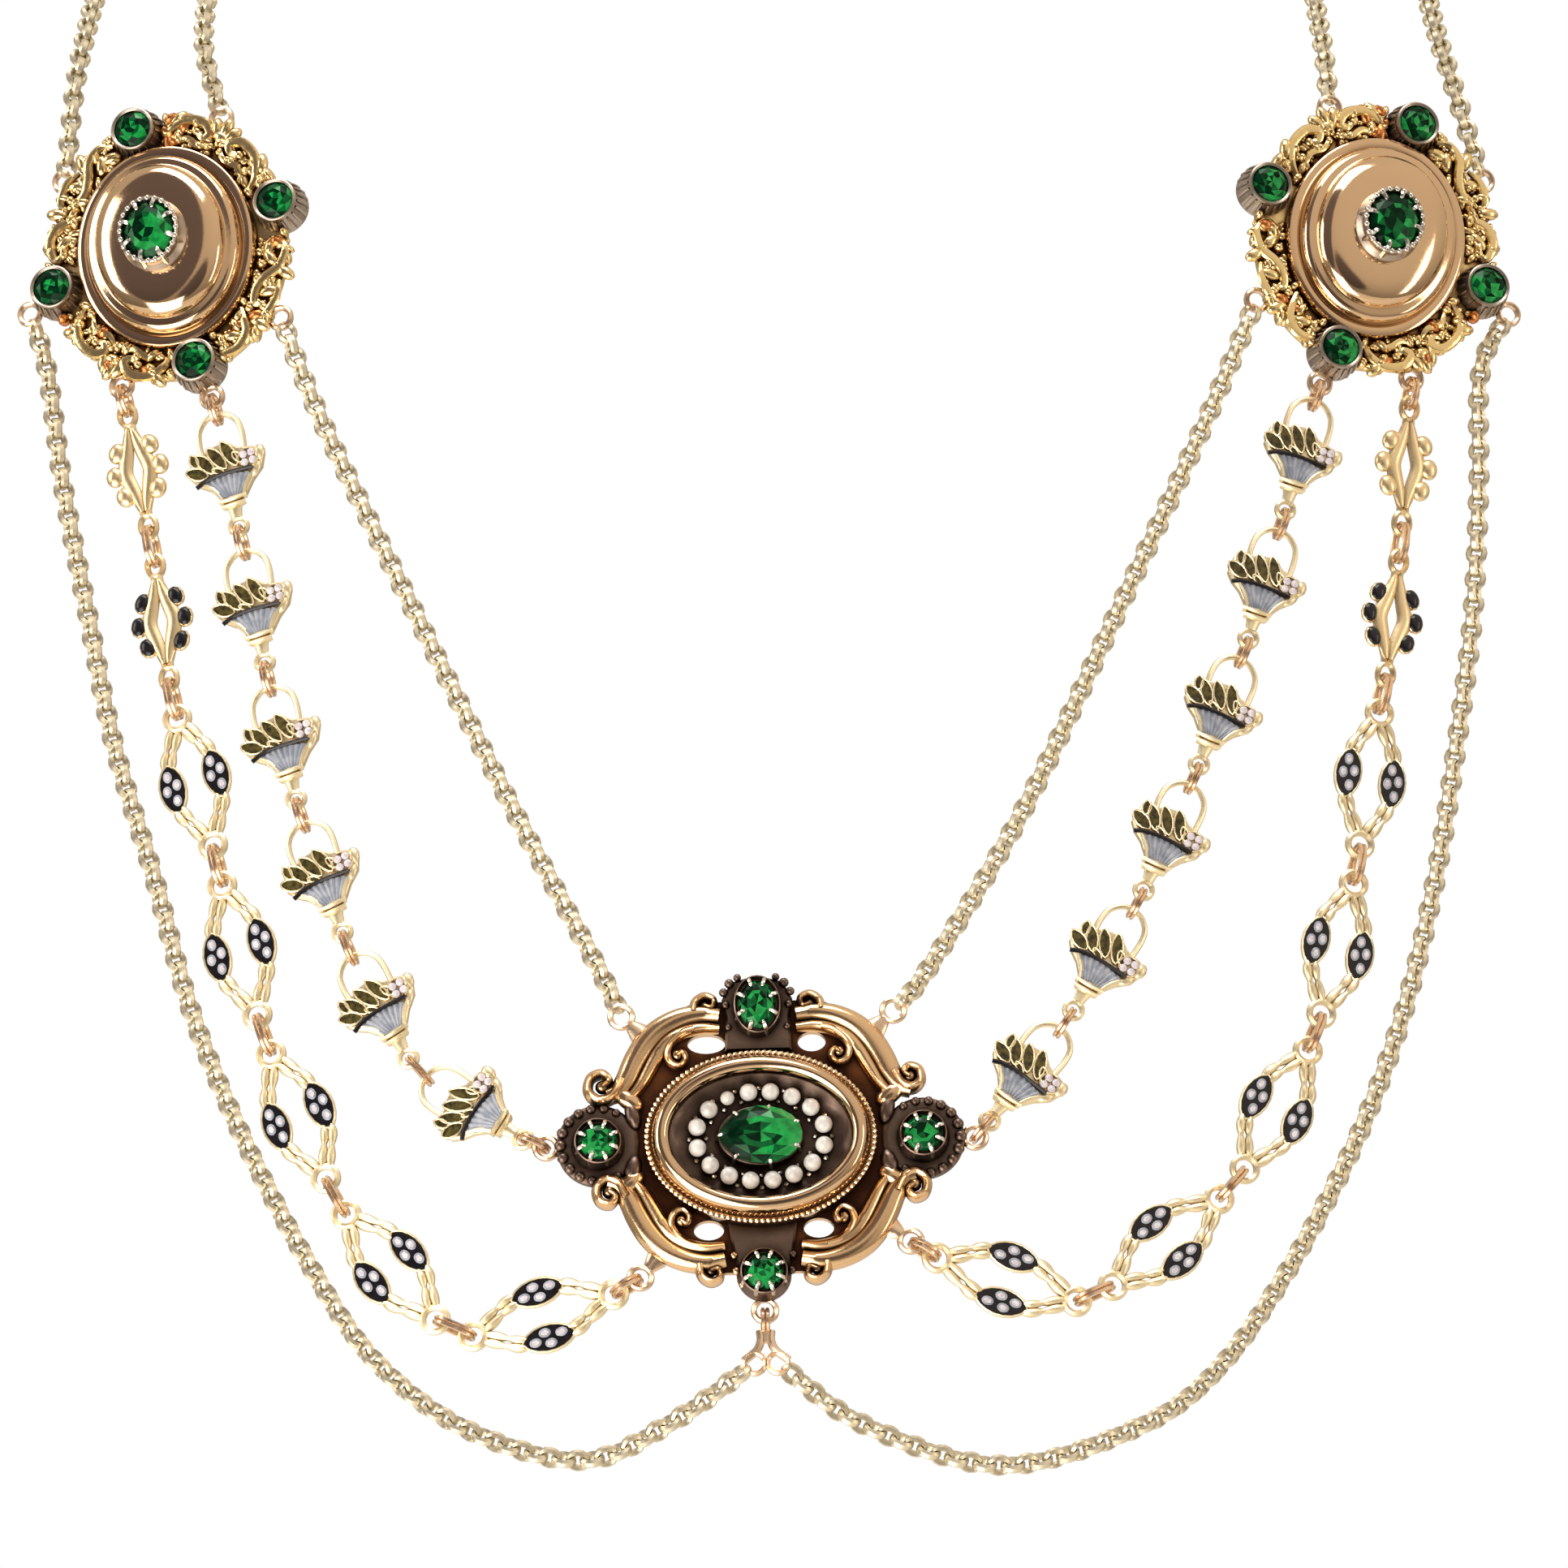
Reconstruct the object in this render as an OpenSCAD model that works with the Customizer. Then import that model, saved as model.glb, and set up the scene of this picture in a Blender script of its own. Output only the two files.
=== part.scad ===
// Festoon necklace: three jewelled plaques joined by fine chain, basket links and lozenge links.
// The origin is at the nape, on the inside of the clasp, at the middle of its height. X runs to the
// right as seen from the front, Z runs up, and the wearer's chest is towards -Y.
// All sizes are in millimetres.

/* [Chest that the necklace lies on] */
// Forward place of the chest on the centre line, at the height of the side plaques
chest_front = 105; // [95:1:115]
// Height of the side plaques below the nape
chest_drop = 70; // [60:1:80]
// How far the chest leans forward for each millimetre down
chest_lean = 0.325; // [0.2:0.005:0.4]
// How fast the chest falls back towards the shoulders
chest_bend = 0.0027; // [0.001:0.0001:0.004]

/* [Centre plaque] */
// Height of the centre plaque below the nape
centre_drop = 158; // [154:1:162]
// Turn of the centre plaque, anticlockwise as seen from the front
centre_turn = 1.5; // [-3:0.5:3]
// Thickness of the pierced frame
frame_t = 1.2; // [0.9:0.1:1.6]
// How far each corner scroll's centre lies in from the bezel's side
scroll_in_x = 6.8; // [6:0.1:7.5]
// How far each corner scroll's centre lies in from the bezel's top or foot
scroll_in_y = 3.1; // [2.5:0.1:3.8]
// Radius of the corner scrolls
scroll_r = 8.5; // [7.5:0.1:10.2]
// Thickness of the scroll ridges
scroll_ridge = 1.7; // [1.3:0.1:2]
// Distance of the east and west stones' centres from the bezel
stone_out_x = 4.5; // [3.8:0.1:6]
// Distance of the north and south stones' centres from the bezel
stone_out_y = 4.7; // [4:0.1:6]
// Radius of the beaded lobes around the east and west stones
lobe_r = 4.2; // [3.8:0.1:5]
// Diameter of the round stones of the centre plaque
paste_d = 3.8; // [3.2:0.1:4.5]
// Height of the oval north stone
north_stone_h = 5.1; // [4.4:0.1:5.6]
// Wall of the collets around the small stones
collet_wall = 0.7; // [0.5:0.1:1]
// Height of the collets above the frame
collet_h = 1.9; // [1.5:0.1:2.5]
// Half width of the bezel ring
bezel_x = 11.5; // [10.5:0.1:12.5]
// Half height of the bezel ring
bezel_y = 8.9; // [8.4:0.1:9.6]
// Width of the bezel ring from its outer to its inner edge
bezel_band = 2.5; // [2.1:0.1:2.9]
// Height of the bezel ring
bezel_h = 3.4; // [2.8:0.1:4]
// Length of the centre stone
centre_stone_l = 8.2; // [7:0.1:9]
// Height of the centre stone on the plaque
centre_stone_w = 5.9; // [5:0.1:6.4]
// Diameter of the seed pearls
pearl_d = 1.85; // [1.6:0.05:2]

/* [Side plaques] */
// Turn of the left plaque, anticlockwise as seen from the front
plaque_turn_left = 21; // [10:1:30]
// Turn of the right plaque, clockwise as seen from the front
plaque_turn_right = 25; // [10:1:30]
// Width of the plate's border around the dome
border_w = 3.55; // [3:0.05:4.5]
// Thickness of the bordered plate
plate_t = 1.3; // [1:0.1:1.8]
// Half width of the dome
dome_x = 9.8; // [8:0.1:12]
// Half height of the dome
dome_y = 10.8; // [9:0.1:13]
// Height of the dome, without its collet
dome_h = 4.2; // [3.4:0.1:5]
// Wall of the pressed dome
dome_wall = 0.6; // [0.4:0.05:0.8]
// Distance between the dome's foot and the round stones
cup_out = 0.9; // [0.6:0.1:1.6]
// Diameter of the round stones of the side plaques
side_stone_d = 3.8; // [3:0.1:4.2]
// Height of the stone cups
cup_h = 3.2; // [2.4:0.1:4]
// Width of the stone on the dome
dome_stone_x = 5.2; // [4.4:0.1:5.8]
// Height of the stone on the dome
dome_stone_y = 6.1; // [5.2:0.1:6.8]
// Height of the claw collet on the dome
dome_collet_h = 1.9; // [1.4:0.1:2.4]

/* [Lozenge links] */
// Length of an enamelled lozenge link between the centres of its end rings
lozenge_l = 14.6; // [12:0.1:15.6]
// Length of a lobed link between the centres of its end rings
lobed_l = 12.6; // [10.6:0.1:13.6]
// Distance of each enamel panel from the middle of its link
panel_out = 2.15; // [1.9:0.05:2.6]
// Length of an enamel panel
panel_l = 5.2; // [4.4:0.1:6]
// Width of an enamel panel
panel_w = 2.4; // [2:0.1:2.8]
// Thickness of the lozenge links
link_t = 0.9; // [0.7:0.1:1.1]

/* [Basket links] */
// Length of a basket link, from the middle of its handle wire to the centre of its eye
basket_l = 12.4; // [10.4:0.1:13]
// Width of the basket's mouth
basket_w = 7.4; // [6.2:0.1:8.9]
// Width of the handle, between the middles of its two legs
handle_w = 4.6; // [3.8:0.1:5.5]
// Thickness of the handle wire
handle_wire = 0.6; // [0.5:0.05:0.75]
// Thickness of the basket's body
basket_t = 1.5; // [1.2:0.1:1.9]

/* [Chain, rings and clasp] */
// Diameter of the chain
chain_d = 2.2; // [1.8:0.1:2.6]
// Outer diameter of the end rings and loops
ring_d = 2.8; // [2.5:0.1:3.2]
// Diameter of the hole in an end ring or loop
hole_d = 1.6; // [1.4:0.05:1.8]
// Thickness of the jump rings' wire
jump_wire = 0.45; // [0.35:0.05:0.55]
// Running clearance between pieces that lie together
gap = 0.25; // [0.15:0.05:0.35]
// Length of the clasp
clasp_l = 20; // [16:0.5:24]
// Height of the clasp
clasp_h = 7; // [6:0.5:9]
// Thickness of the clasp
clasp_t = 2.6; // [2.2:0.1:3.2]

/* [Hidden] */
$fn = 48;

// Colours of the metals, stones and enamels
YELLOW_GOLD = "#d8b56c";
ROSE_GOLD = "#c88f63";
GREEN = "#0c7a3a";
PEARL = "#efe8da";

// Places that follow the bezel and the domes
scroll_x = bezel_x - scroll_in_x;
scroll_y = bezel_y - scroll_in_y;
lobe_reach = bezel_x + stone_out_x;
stone_reach = bezel_y + stone_out_y;
plate_x = dome_x + border_w;
plate_y = dome_y + border_w;
cup_reach_x = dome_x + cup_out + side_stone_d / 2;
cup_reach_y = dome_y + cup_out + side_stone_d / 2;

SIDES = [-1, 1];
BASKETS = 6;
LOZENGES = 7;
// The first links of each lozenge strand are the lobed ones
LOBED = 2;
// How deep a soldered ring or loop laps onto what carries it
lap = 0.5;
// A jump ring is two turns of its wire, side by side
jump_wide = 2 * jump_wire;
// Room inside a jump ring for the tilt between the pieces that it joins
tilt_room = 0.9;
// Half the height of a jump ring across the links
jump_rise = link_t / 2 + tilt_room + jump_wire / 2;
// Distance from a plaque's loop to the first or last end ring of a lozenge strand
end_step = ring_d + gap + 0.1;
// Eye below each basket
eye_hole_r = 0.65;
eye_r = eye_hole_r + 0.5;
// Distance from a plaque's loop to the first handle wire, and from the last eye to its loop
basket_top_step = ring_d / 2 + handle_wire / 2 + gap;
basket_foot_step = ring_d / 2 + eye_r + gap;

// Places on the chest, as [x, height], chosen by hand.
// The side plaques sit where the chest turns towards the shoulders.
PLAQUE_PLACE = [[-60.5, -68], [62.5, -67]];
// Points between the loops at the ends of each strand, from the top down, left then right.
INNER_ROUTE = [[[-44.5, -86], [-34.5, -106], [-24.5, -125.5], [-16, -141]],
    [[45, -86], [35.5, -106], [26, -125.5], [16.5, -141]]];
OUTER_ROUTE = [[[-73.5, -80], [-71.5, -92], [-68.5, -105.5], [-65.5, -118.5], [-61, -132], [-57, -145],
    [-51.5, -157.5], [-44.5, -170], [-38, -179], [-29, -185.5], [-17.5, -188.5], [-9, -185]],
    [[74, -80], [73.5, -92], [72.5, -105.5], [70.5, -118.5], [68, -132], [64.5, -145],
    [59.5, -157.5], [52.5, -170], [45, -180], [37, -185.5], [23.5, -189], [10, -185]]];
LOZENGE_ROUTE = [[[-64, -89], [-61.5, -101], [-59.5, -114], [-55.5, -127], [-52.5, -138.5],
    [-48.5, -150], [-42.5, -162.5], [-36, -171.5], [-29, -176.5], [-20, -175.5]],
    [[65.5, -94], [64, -107], [61.5, -121], [59, -135], [55, -148], [48.5, -160], [39, -169],
    [30, -173.5], [21, -171]]];
BASKET_ROUTE = [[[-54, -92], [-51, -106], [-48, -119.5], [-43.5, -133], [-37, -147], [-29, -155]],
    [[54, -92], [49.5, -107], [44, -120.5], [38, -133.5], [31, -145], [24.5, -153.5]]];
// Points of the back chains on the right, as [x, y, z], from the side plaque to the clasp.
BACK_INNER = [[58, -84, -44], [56, -62, -29], [47, -34, -14], [32, -13, -3], [18, -3, 1]];
BACK_OUTER = [[71, -80, -46], [68, -58, -32], [57, -29, -19], [39, -9, -9], [20, -1, -4]];

// Loops of a side plaque, as [angle around the left plaque, true when it hangs under a stone cup].
// The right plaque's loops are their mirror images.
INNER_BACK = [54, false];
OUTER_BACK = [127, false];
OUTER_FRONT = [183, true];
LOZENGE_LOOP = [235, false];
BASKET_LOOP = [271, true];
INNER_FRONT = [309, false];
PLAQUE_LOOPS = [INNER_BACK, OUTER_BACK, OUTER_FRONT, LOZENGE_LOOP, BASKET_LOOP, INNER_FRONT];
// Loops of the centre plaque, as [side, above or below, angle around the corner scroll's centre].
CENTRE_INNER = [[-1, 1, 38], [1, 1, 38]];
CENTRE_LOZENGE = [[-1, -1, 48], [1, -1, 28]];

// Chest surface and places on it
function chest_y(x, z) = -chest_front + chest_lean * (z + chest_drop) + chest_bend * x * x;
function chest_point(p) = [p[0], chest_y(p[0], p[1]), p[1]];
function unit(v) = v / norm(v);
function chest_normal(x) = unit([2 * chest_bend * x, -1, chest_lean]);
function chest_turn(x) = atan(2 * chest_bend * x);
function chest_tilt(x) = asin(chest_normal(x)[2]);

// Directions of a plaque's own X, Y and Z after it is turned on the chest
function level_axis(x) = [cos(chest_turn(x)), sin(chest_turn(x)), 0];
function upright_axis(x) = cross(chest_normal(x), level_axis(x));
function turned(place, turn, p) = chest_point(place)
    + level_axis(place[0]) * (p[0] * cos(turn) - p[1] * sin(turn))
    + upright_axis(place[0]) * (p[0] * sin(turn) + p[1] * cos(turn))
    + chest_normal(place[0]) * p[2];

// Outlines
function oval(a, b, n = 36) = [for (i = [0:n - 1]) [a * cos(360 * i / n), b * sin(360 * i / n)]];
function polar(r, angle) = [r * cos(angle), r * sin(angle)];
function oval_reach(a, b, angle) = a * b / norm([b * cos(angle), a * sin(angle)]);

// Places of the plaques' loops
function side_i(side) = side < 0 ? 0 : 1;
function plaque_turn(side) = side < 0 ? plaque_turn_left : -plaque_turn_right;
function loop_angle(side, loop) = side < 0 ? loop[0] : 180 - loop[0];
function cup_reach(angle) = abs(cos(angle)) > 0.7 ? cup_reach_x : cup_reach_y;
cup_r = side_stone_d / 2 + collet_wall + 0.1;
function loop_reach(angle, under_cup) = ring_d / 2 - lap
    + (under_cup ? cup_reach(angle) + cup_r : oval_reach(plate_x, plate_y, angle));
function plaque_loop_local(side, loop) = polar(
    loop_reach(loop_angle(side, loop), loop[1]), loop_angle(side, loop));
function on_plaque(side, p) = turned(PLAQUE_PLACE[side_i(side)], plaque_turn(side), p);
function plaque_loop(side, loop) = let (p = plaque_loop_local(side, loop))
    on_plaque(side, [p[0], p[1], plate_t / 2]);

centre_rise = 0.6;
corner_r = scroll_r + scroll_ridge;
CENTRE_PLACE = [0, -centre_drop];
function corner_centre(sx, sy) = [sx * scroll_x, centre_rise + sy * scroll_y];
function centre_loop_local(loop) = corner_centre(loop[0], loop[1])
    + (corner_r + ring_d / 2 - lap) * [loop[0] * cos(loop[2]), loop[1] * sin(loop[2])];
function lobe_loop_local(side) = [side * (lobe_reach + lobe_r + ring_d / 2 - lap), 0];
function on_centre(p) = turned(CENTRE_PLACE, centre_turn, [p[0], p[1], frame_t / 2]);
paste_r = paste_d / 2 + collet_wall;
south_loop = [0, -stone_reach - paste_r - ring_d / 2 + lap];

// Routes: a smooth curve through hand-chosen points, and places along it
function mid_curve(a, b, c, d, t) = 0.5 * (2 * b + (c - a) * t + (2 * a - 5 * b + 4 * c - d) * t * t
    + (3 * b - 3 * c + d - a) * t * t * t);
function smooth(p, steps = 8) = let (n = len(p)) concat(
    [for (i = [0:n - 2], k = [0:steps - 1]) mid_curve(
        i == 0 ? 2 * p[0] - p[1] : p[i - 1], p[i], p[i + 1],
        i == n - 2 ? 2 * p[n - 1] - p[n - 2] : p[i + 2], k / steps)],
    [p[n - 1]]);
function runs(p) = [for (i = 0, s = 0; i < len(p);
    i = i + 1, s = i < len(p) ? s + norm(p[i] - p[i - 1]) : s) s];
function along(p, run, s) = [for (axis = [0:2])
    lookup(s, [for (i = [0:len(p) - 1]) [run[i], p[i][axis]]])];
function last(list) = list[len(list) - 1];
function on_chest(route) = [for (p = route) chest_point(p)];
function strand(start, route, end) = smooth(concat([start], on_chest(route), [end]));

// A tube that follows a route, with its ends held off the loops that it hangs from
module tube(curve, trim_start, trim_end, rings, up, d = chain_d, sides = 8) {
    run = runs(curve);
    stretch = last(run) - trim_start - trim_end;
    places = [for (i = [0:rings - 1]) along(curve, run, trim_start + stretch * i / (rings - 1))];
    points = [for (i = [0:rings - 1])
        let (
            ahead = unit(places[min(i + 1, rings - 1)] - places[max(i - 1, 0)]),
            out = unit(cross(ahead, up)),
            over = cross(out, ahead)
        )
        for (k = [0:sides - 1])
            places[i] + d / 2 * (out * cos(360 * k / sides) + over * sin(360 * k / sides))];
    walls = [for (i = [0:rings - 2], k = [0:sides - 1], half = [0, 1])
        let (
            a = i * sides + k,
            b = i * sides + (k + 1) % sides
        )
        half == 0 ? [a, b, b + sides] : [a, b + sides, a + sides]];
    first_end = [[for (k = [sides - 1:-1:0]) k]];
    last_end = [[for (k = [0:sides - 1]) (rings - 1) * sides + k]];
    polyhedron(points, concat(walls, first_end, last_end));
}

// A closed oval solid made of rows of [inset from the outline, height], ending in a point at each end.
// The insets across b are drawn share_b times as deep.
module oval_solid(a, b, rows, low_point, high_point, n = 40, share_b = 1) {
    points = concat([[0, 0, low_point]],
        [for (row = rows, i = [0:n - 1])
            [(a - row[0]) * cos(360 * i / n), (b - share_b * row[0]) * sin(360 * i / n), row[1]]],
        [[0, 0, high_point]]);
    top = len(points) - 1;
    walls = [for (r = [0:len(rows) - 2], i = [0:n - 1], half = [0, 1])
        let (
            p = 1 + r * n + i,
            q = 1 + r * n + (i + 1) % n
        )
        half == 0 ? [p, p + n, q + n] : [p, q + n, q]];
    floor_fan = [for (i = [0:n - 1]) [0, 1 + i, 1 + (i + 1) % n]];
    top_fan = [for (i = [0:n - 1])
        [top, 1 + (len(rows) - 1) * n + (i + 1) % n, 1 + (len(rows) - 1) * n + i]];
    polyhedron(points, concat(floor_fan, walls, top_fan));
}

// A cut stone: girdle at height 0, flat table above, point below
module cut_stone(a, b, n = 16) {
    small = min(a, b);
    oval_solid(a, b,
        [[0.3 * small, -0.3 * small], [0, -0.06 * small], [0, 0.06 * small], [0.36 * small, 0.36 * small]],
        -0.55 * small, 0.36 * small, n);
}

// A pointed leaf with its middle at the origin, lying along X
module leaf(length, width) {
    r = (length * length + width * width) / (4 * width);
    intersection_for(side = SIDES)
        translate([0, side * (r - width / 2)])
            circle(r);
}

// Outline of a bar with round ends, as long as given between the centres of its ends
function stadium(length, r, n = 10) = [for (side = [1, -1], k = [0:n])
    [side * length / 2, 0] + polar(r, (side > 0 ? -90 : 90) + 180 * k / n)];

// A jump ring of two turns of wire: a closed band in the XZ plane, round at both ends
module jump_ring(length, rise, thick, wide) {
    straight = max(length - 2 * rise, 0);
    rotate([90, 0, 0])
        translate([0, 0, -wide / 2])
            linear_extrude(wide)
                difference() {
                    polygon(stadium(straight, rise + thick / 2));
                    polygon(stadium(straight, rise - thick / 2));
                }
}

// Puts its children on a plaque's place on the chest
module on_place(place, turn) {
    translate(chest_point(place))
        rotate([90 - chest_tilt(place[0]), 0, chest_turn(place[0])])
            rotate([0, 0, turn])
                children();
}

// Puts its children midway between two points, with X from the first to the second and Z off the chest
module between(a, b) {
    middle = (a + b) / 2;
    x = unit(b - a);
    out = chest_normal(middle[0]);
    z = unit(out - (out * x) * x);
    y = cross(z, x);
    multmatrix([[x[0], y[0], z[0], middle[0]], [x[1], y[1], z[1], middle[1]],
        [x[2], y[2], z[2], middle[2]], [0, 0, 0, 1]])
        children();
}

// Strands of rigid links: the pitch of the jump rings takes up what the links leave of the route
function lozenge_length(i) = i < LOBED ? lobed_l : lozenge_l;
lozenge_sum = LOBED * lobed_l + (LOZENGES - LOBED) * lozenge_l;
function lozenge_curve(side) = strand(plaque_loop(side, LOZENGE_LOOP), LOZENGE_ROUTE[side_i(side)],
    on_centre(centre_loop_local(CENTRE_LOZENGE[side_i(side)])));
function lozenge_gap(total) = (total - lozenge_sum - 2 * end_step) / (LOZENGES - 1);
function lozenge_start(total, i) = end_step + i * lozenge_gap(total)
    + min(i, LOBED) * lobed_l + max(i - LOBED, 0) * lozenge_l;
function basket_curve(side) = strand(plaque_loop(side, BASKET_LOOP), BASKET_ROUTE[side_i(side)],
    on_centre(lobe_loop_local(side)));
function basket_gap(total) = (total - BASKETS * basket_l - basket_top_step - basket_foot_step)
    / (BASKETS - 1);
function basket_start(total, i) = basket_top_step + i * (basket_gap(total) + basket_l);

// Soldered loops at mid height of the plate that carries them
module loops(places, plate) {
    for (p = places)
        translate([p[0], p[1], (plate - link_t) / 2])
            cylinder(h = link_t, d = ring_d);
}

module loop_holes(places, height) {
    for (p = places)
        translate([p[0], p[1], -1])
            cylinder(h = height + 2, d = hole_d);
}

// Centre plaque
CENTRE_LOOPS = concat([for (loop = concat(CENTRE_INNER, CENTRE_LOZENGE)) centre_loop_local(loop)],
    [for (side = SIDES) lobe_loop_local(side)], [south_loop]);
SMALL_STONES = [[0, stone_reach], [lobe_reach, 0], [0, -stone_reach], [-lobe_reach, 0]];
function small_stone_y(i) = i == 0 ? north_stone_h / 2 : paste_d / 2;
collet_top = frame_t + collet_h;
seat_gap = 0.12;
// Pierced openings, as shares of the stones' reach: place across, place up, half width
PIERCINGS = [[-0.34, 0.85, 0.125], [0.33, 0.85, 0.1], [-0.33, -0.72, 0.1], [0.34, -0.72, 0.115]];
piercing_h = 0.075 * stone_reach;

module frame_outline() {
    corners = [for (q = [[1, 1], [-1, 1], [-1, -1], [1, -1]])
        for (step = [0:6])
            let (along_arc = q[0] * q[1] > 0 ? step * 15 : 90 - step * 15)
            corner_centre(q[0], q[1]) + corner_r * [q[0] * cos(along_arc), q[1] * sin(along_arc)]];
    polygon(corners);
    for (side = SIDES)
        translate([side * lobe_reach, 0])
            circle(lobe_r);
    translate([0, stone_reach])
        circle(north_stone_h / 2 + collet_wall);
    translate([0, -stone_reach])
        circle(paste_r + 0.1);
}

// One corner scroll: an outer and an inner ridge on quarter circles, and their round curls
module corner_scroll(sx, sy) {
    c = corner_centre(sx, sy);
    inner_r = scroll_r - 1.15 * scroll_ridge;
    translate([c[0], c[1], frame_t])
        mirror([sx > 0 ? 0 : 1, 0, 0])
            mirror([0, sy > 0 ? 0 : 1, 0]) {
                rotate_extrude(angle = 90)
                    translate([scroll_r, 0])
                        circle(scroll_ridge / 2, $fn = 24);
                rotate([0, 0, 12])
                    rotate_extrude(angle = 66)
                        translate([inner_r, 0])
                            circle(scroll_ridge * 0.4, $fn = 24);
                translate([scroll_r + 0.5, -0.3, 0])
                    sphere(scroll_ridge * 0.8, $fn = 24);
                translate([-0.3, scroll_r + 0.3, 0])
                    sphere(scroll_ridge * 0.65, $fn = 24);
                translate([inner_r * cos(78) - 0.2, inner_r * sin(78) - 0.6, 0])
                    sphere(scroll_ridge * 0.6, $fn = 24);
            }
}

module centre_frame() {
    color(ROSE_GOLD)
        difference() {
            union() {
                linear_extrude(frame_t)
                    frame_outline();
                loops(CENTRE_LOOPS, frame_t);
                intersection() {
                    union()
                        for (sx = SIDES, sy = SIDES)
                            corner_scroll(sx, sy);
                    translate([-50, -50, 0.1])
                        cube([100, 100, 10]);
                }
                for (i = [0:3])
                    translate([SMALL_STONES[i][0], SMALL_STONES[i][1], frame_t / 2])
                        linear_extrude(collet_top - frame_t / 2)
                            polygon(oval(paste_r, small_stone_y(i) + collet_wall));
            }
            for (i = [0:3])
                translate([SMALL_STONES[i][0], SMALL_STONES[i][1], frame_t - 0.2])
                    linear_extrude(collet_h + 2)
                        polygon(oval(paste_d / 2 + seat_gap, small_stone_y(i) + seat_gap));
            for (hole = PIERCINGS)
                translate([hole[0] * lobe_reach, hole[1] * stone_reach, -1])
                    linear_extrude(frame_t + 6)
                        polygon(oval(hole[2] * lobe_reach, piercing_h, 20));
            loop_holes(CENTRE_LOOPS, frame_t + 3);
        }
}

// The bezel stands on the frame: milled outer edge, rounded band, and a floor for the pearls
module centre_bezel() {
    floor_t = 0.7;
    color(ROSE_GOLD)
        translate([0, 0, frame_t + gap / 2])
            oval_solid(bezel_x, bezel_y,
                [[0, 0], [0, 0.55 * bezel_h], [0.7, 0.62 * bezel_h], [0.75, 0.85 * bezel_h],
                [0.5 * bezel_band + 0.3, bezel_h], [bezel_band - 0.1, 0.86 * bezel_h],
                [bezel_band, 0.6 * bezel_h], [bezel_band, floor_t]],
                0, floor_t, 48);
}

bezel_floor = frame_t + gap / 2 + 0.7;
PEARLS = 16;
pearl_ring_x = bezel_x - bezel_band - pearl_d / 2 - 1.75;
pearl_ring_y = bezel_y - bezel_band - pearl_d / 2 - 1;

// The pearls are evenly spaced along their oval
module centre_pearls() {
    round_trip = [for (p = concat(oval(pearl_ring_x, pearl_ring_y, 72), [[pearl_ring_x, 0]]))
        [p[0], p[1], bezel_floor + pearl_d / 2 + gap / 2]];
    run = runs(round_trip);
    color(PEARL)
        for (i = [0:PEARLS - 1])
            translate(along(round_trip, run, last(run) * (i + 0.5) / PEARLS))
                sphere(pearl_d / 2, $fn = 24);
}

module centre_stone() {
    half_w = min(centre_stone_w / 2, pearl_ring_y - pearl_d / 2 - 0.1);
    half_l = min(centre_stone_l / 2, pearl_ring_x - pearl_d / 2 - 0.1);
    color(GREEN)
        translate([0, 0, bezel_floor + 0.55 * half_w + gap / 2])
            cut_stone(half_l, half_w, 20);
}

module small_stone(i) {
    color(GREEN)
        translate([SMALL_STONES[i][0], SMALL_STONES[i][1], frame_t - 0.2 + 0.3 * paste_d + gap / 2])
            cut_stone(paste_d / 2, small_stone_y(i));
}

// Side plaque: bordered plate, four cups, loops
CUPS = [[0, cup_reach_y], [cup_reach_x, 0], [0, -cup_reach_y], [-cup_reach_x, 0]];
dome_seat = plate_t + gap / 2;

// The cast border swells between the stones, as leaves on a wreath
function border(n = 64) = [for (i = [0:n - 1])
    let (angle = 360 * i / n)
    polar(oval_reach(plate_x, plate_y, angle) * (1 + 0.018 * cos(8 * angle + 180)), angle)];

module plaque_frame(side) {
    places = [for (loop = PLAQUE_LOOPS) plaque_loop_local(side, loop)];
    color(YELLOW_GOLD)
        difference() {
            union() {
                linear_extrude(plate_t)
                    polygon(border());
                loops(places, plate_t);
                for (cup = CUPS)
                    translate([cup[0], cup[1], 0])
                        cylinder(h = cup_h, r = cup_r);
            }
            for (cup = CUPS)
                translate([cup[0], cup[1], cup_h - 0.3 * side_stone_d - 0.4])
                    cylinder(h = side_stone_d, d = side_stone_d + 2 * seat_gap);
            // The dome's foot cuts into the inner side of the cups
            translate([0, 0, plate_t])
                linear_extrude(cup_h)
                    polygon(oval(dome_x + gap, dome_y + gap, 48));
            loop_holes(places, plate_t);
        }
}

// The dome is a pressed shell: stepped foot, round crown, then the raised collet with the stone's seat.
// The collet is a longer oval than its stone.
collet_room_x = 0.8;
collet_room_y = 1.35;

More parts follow.
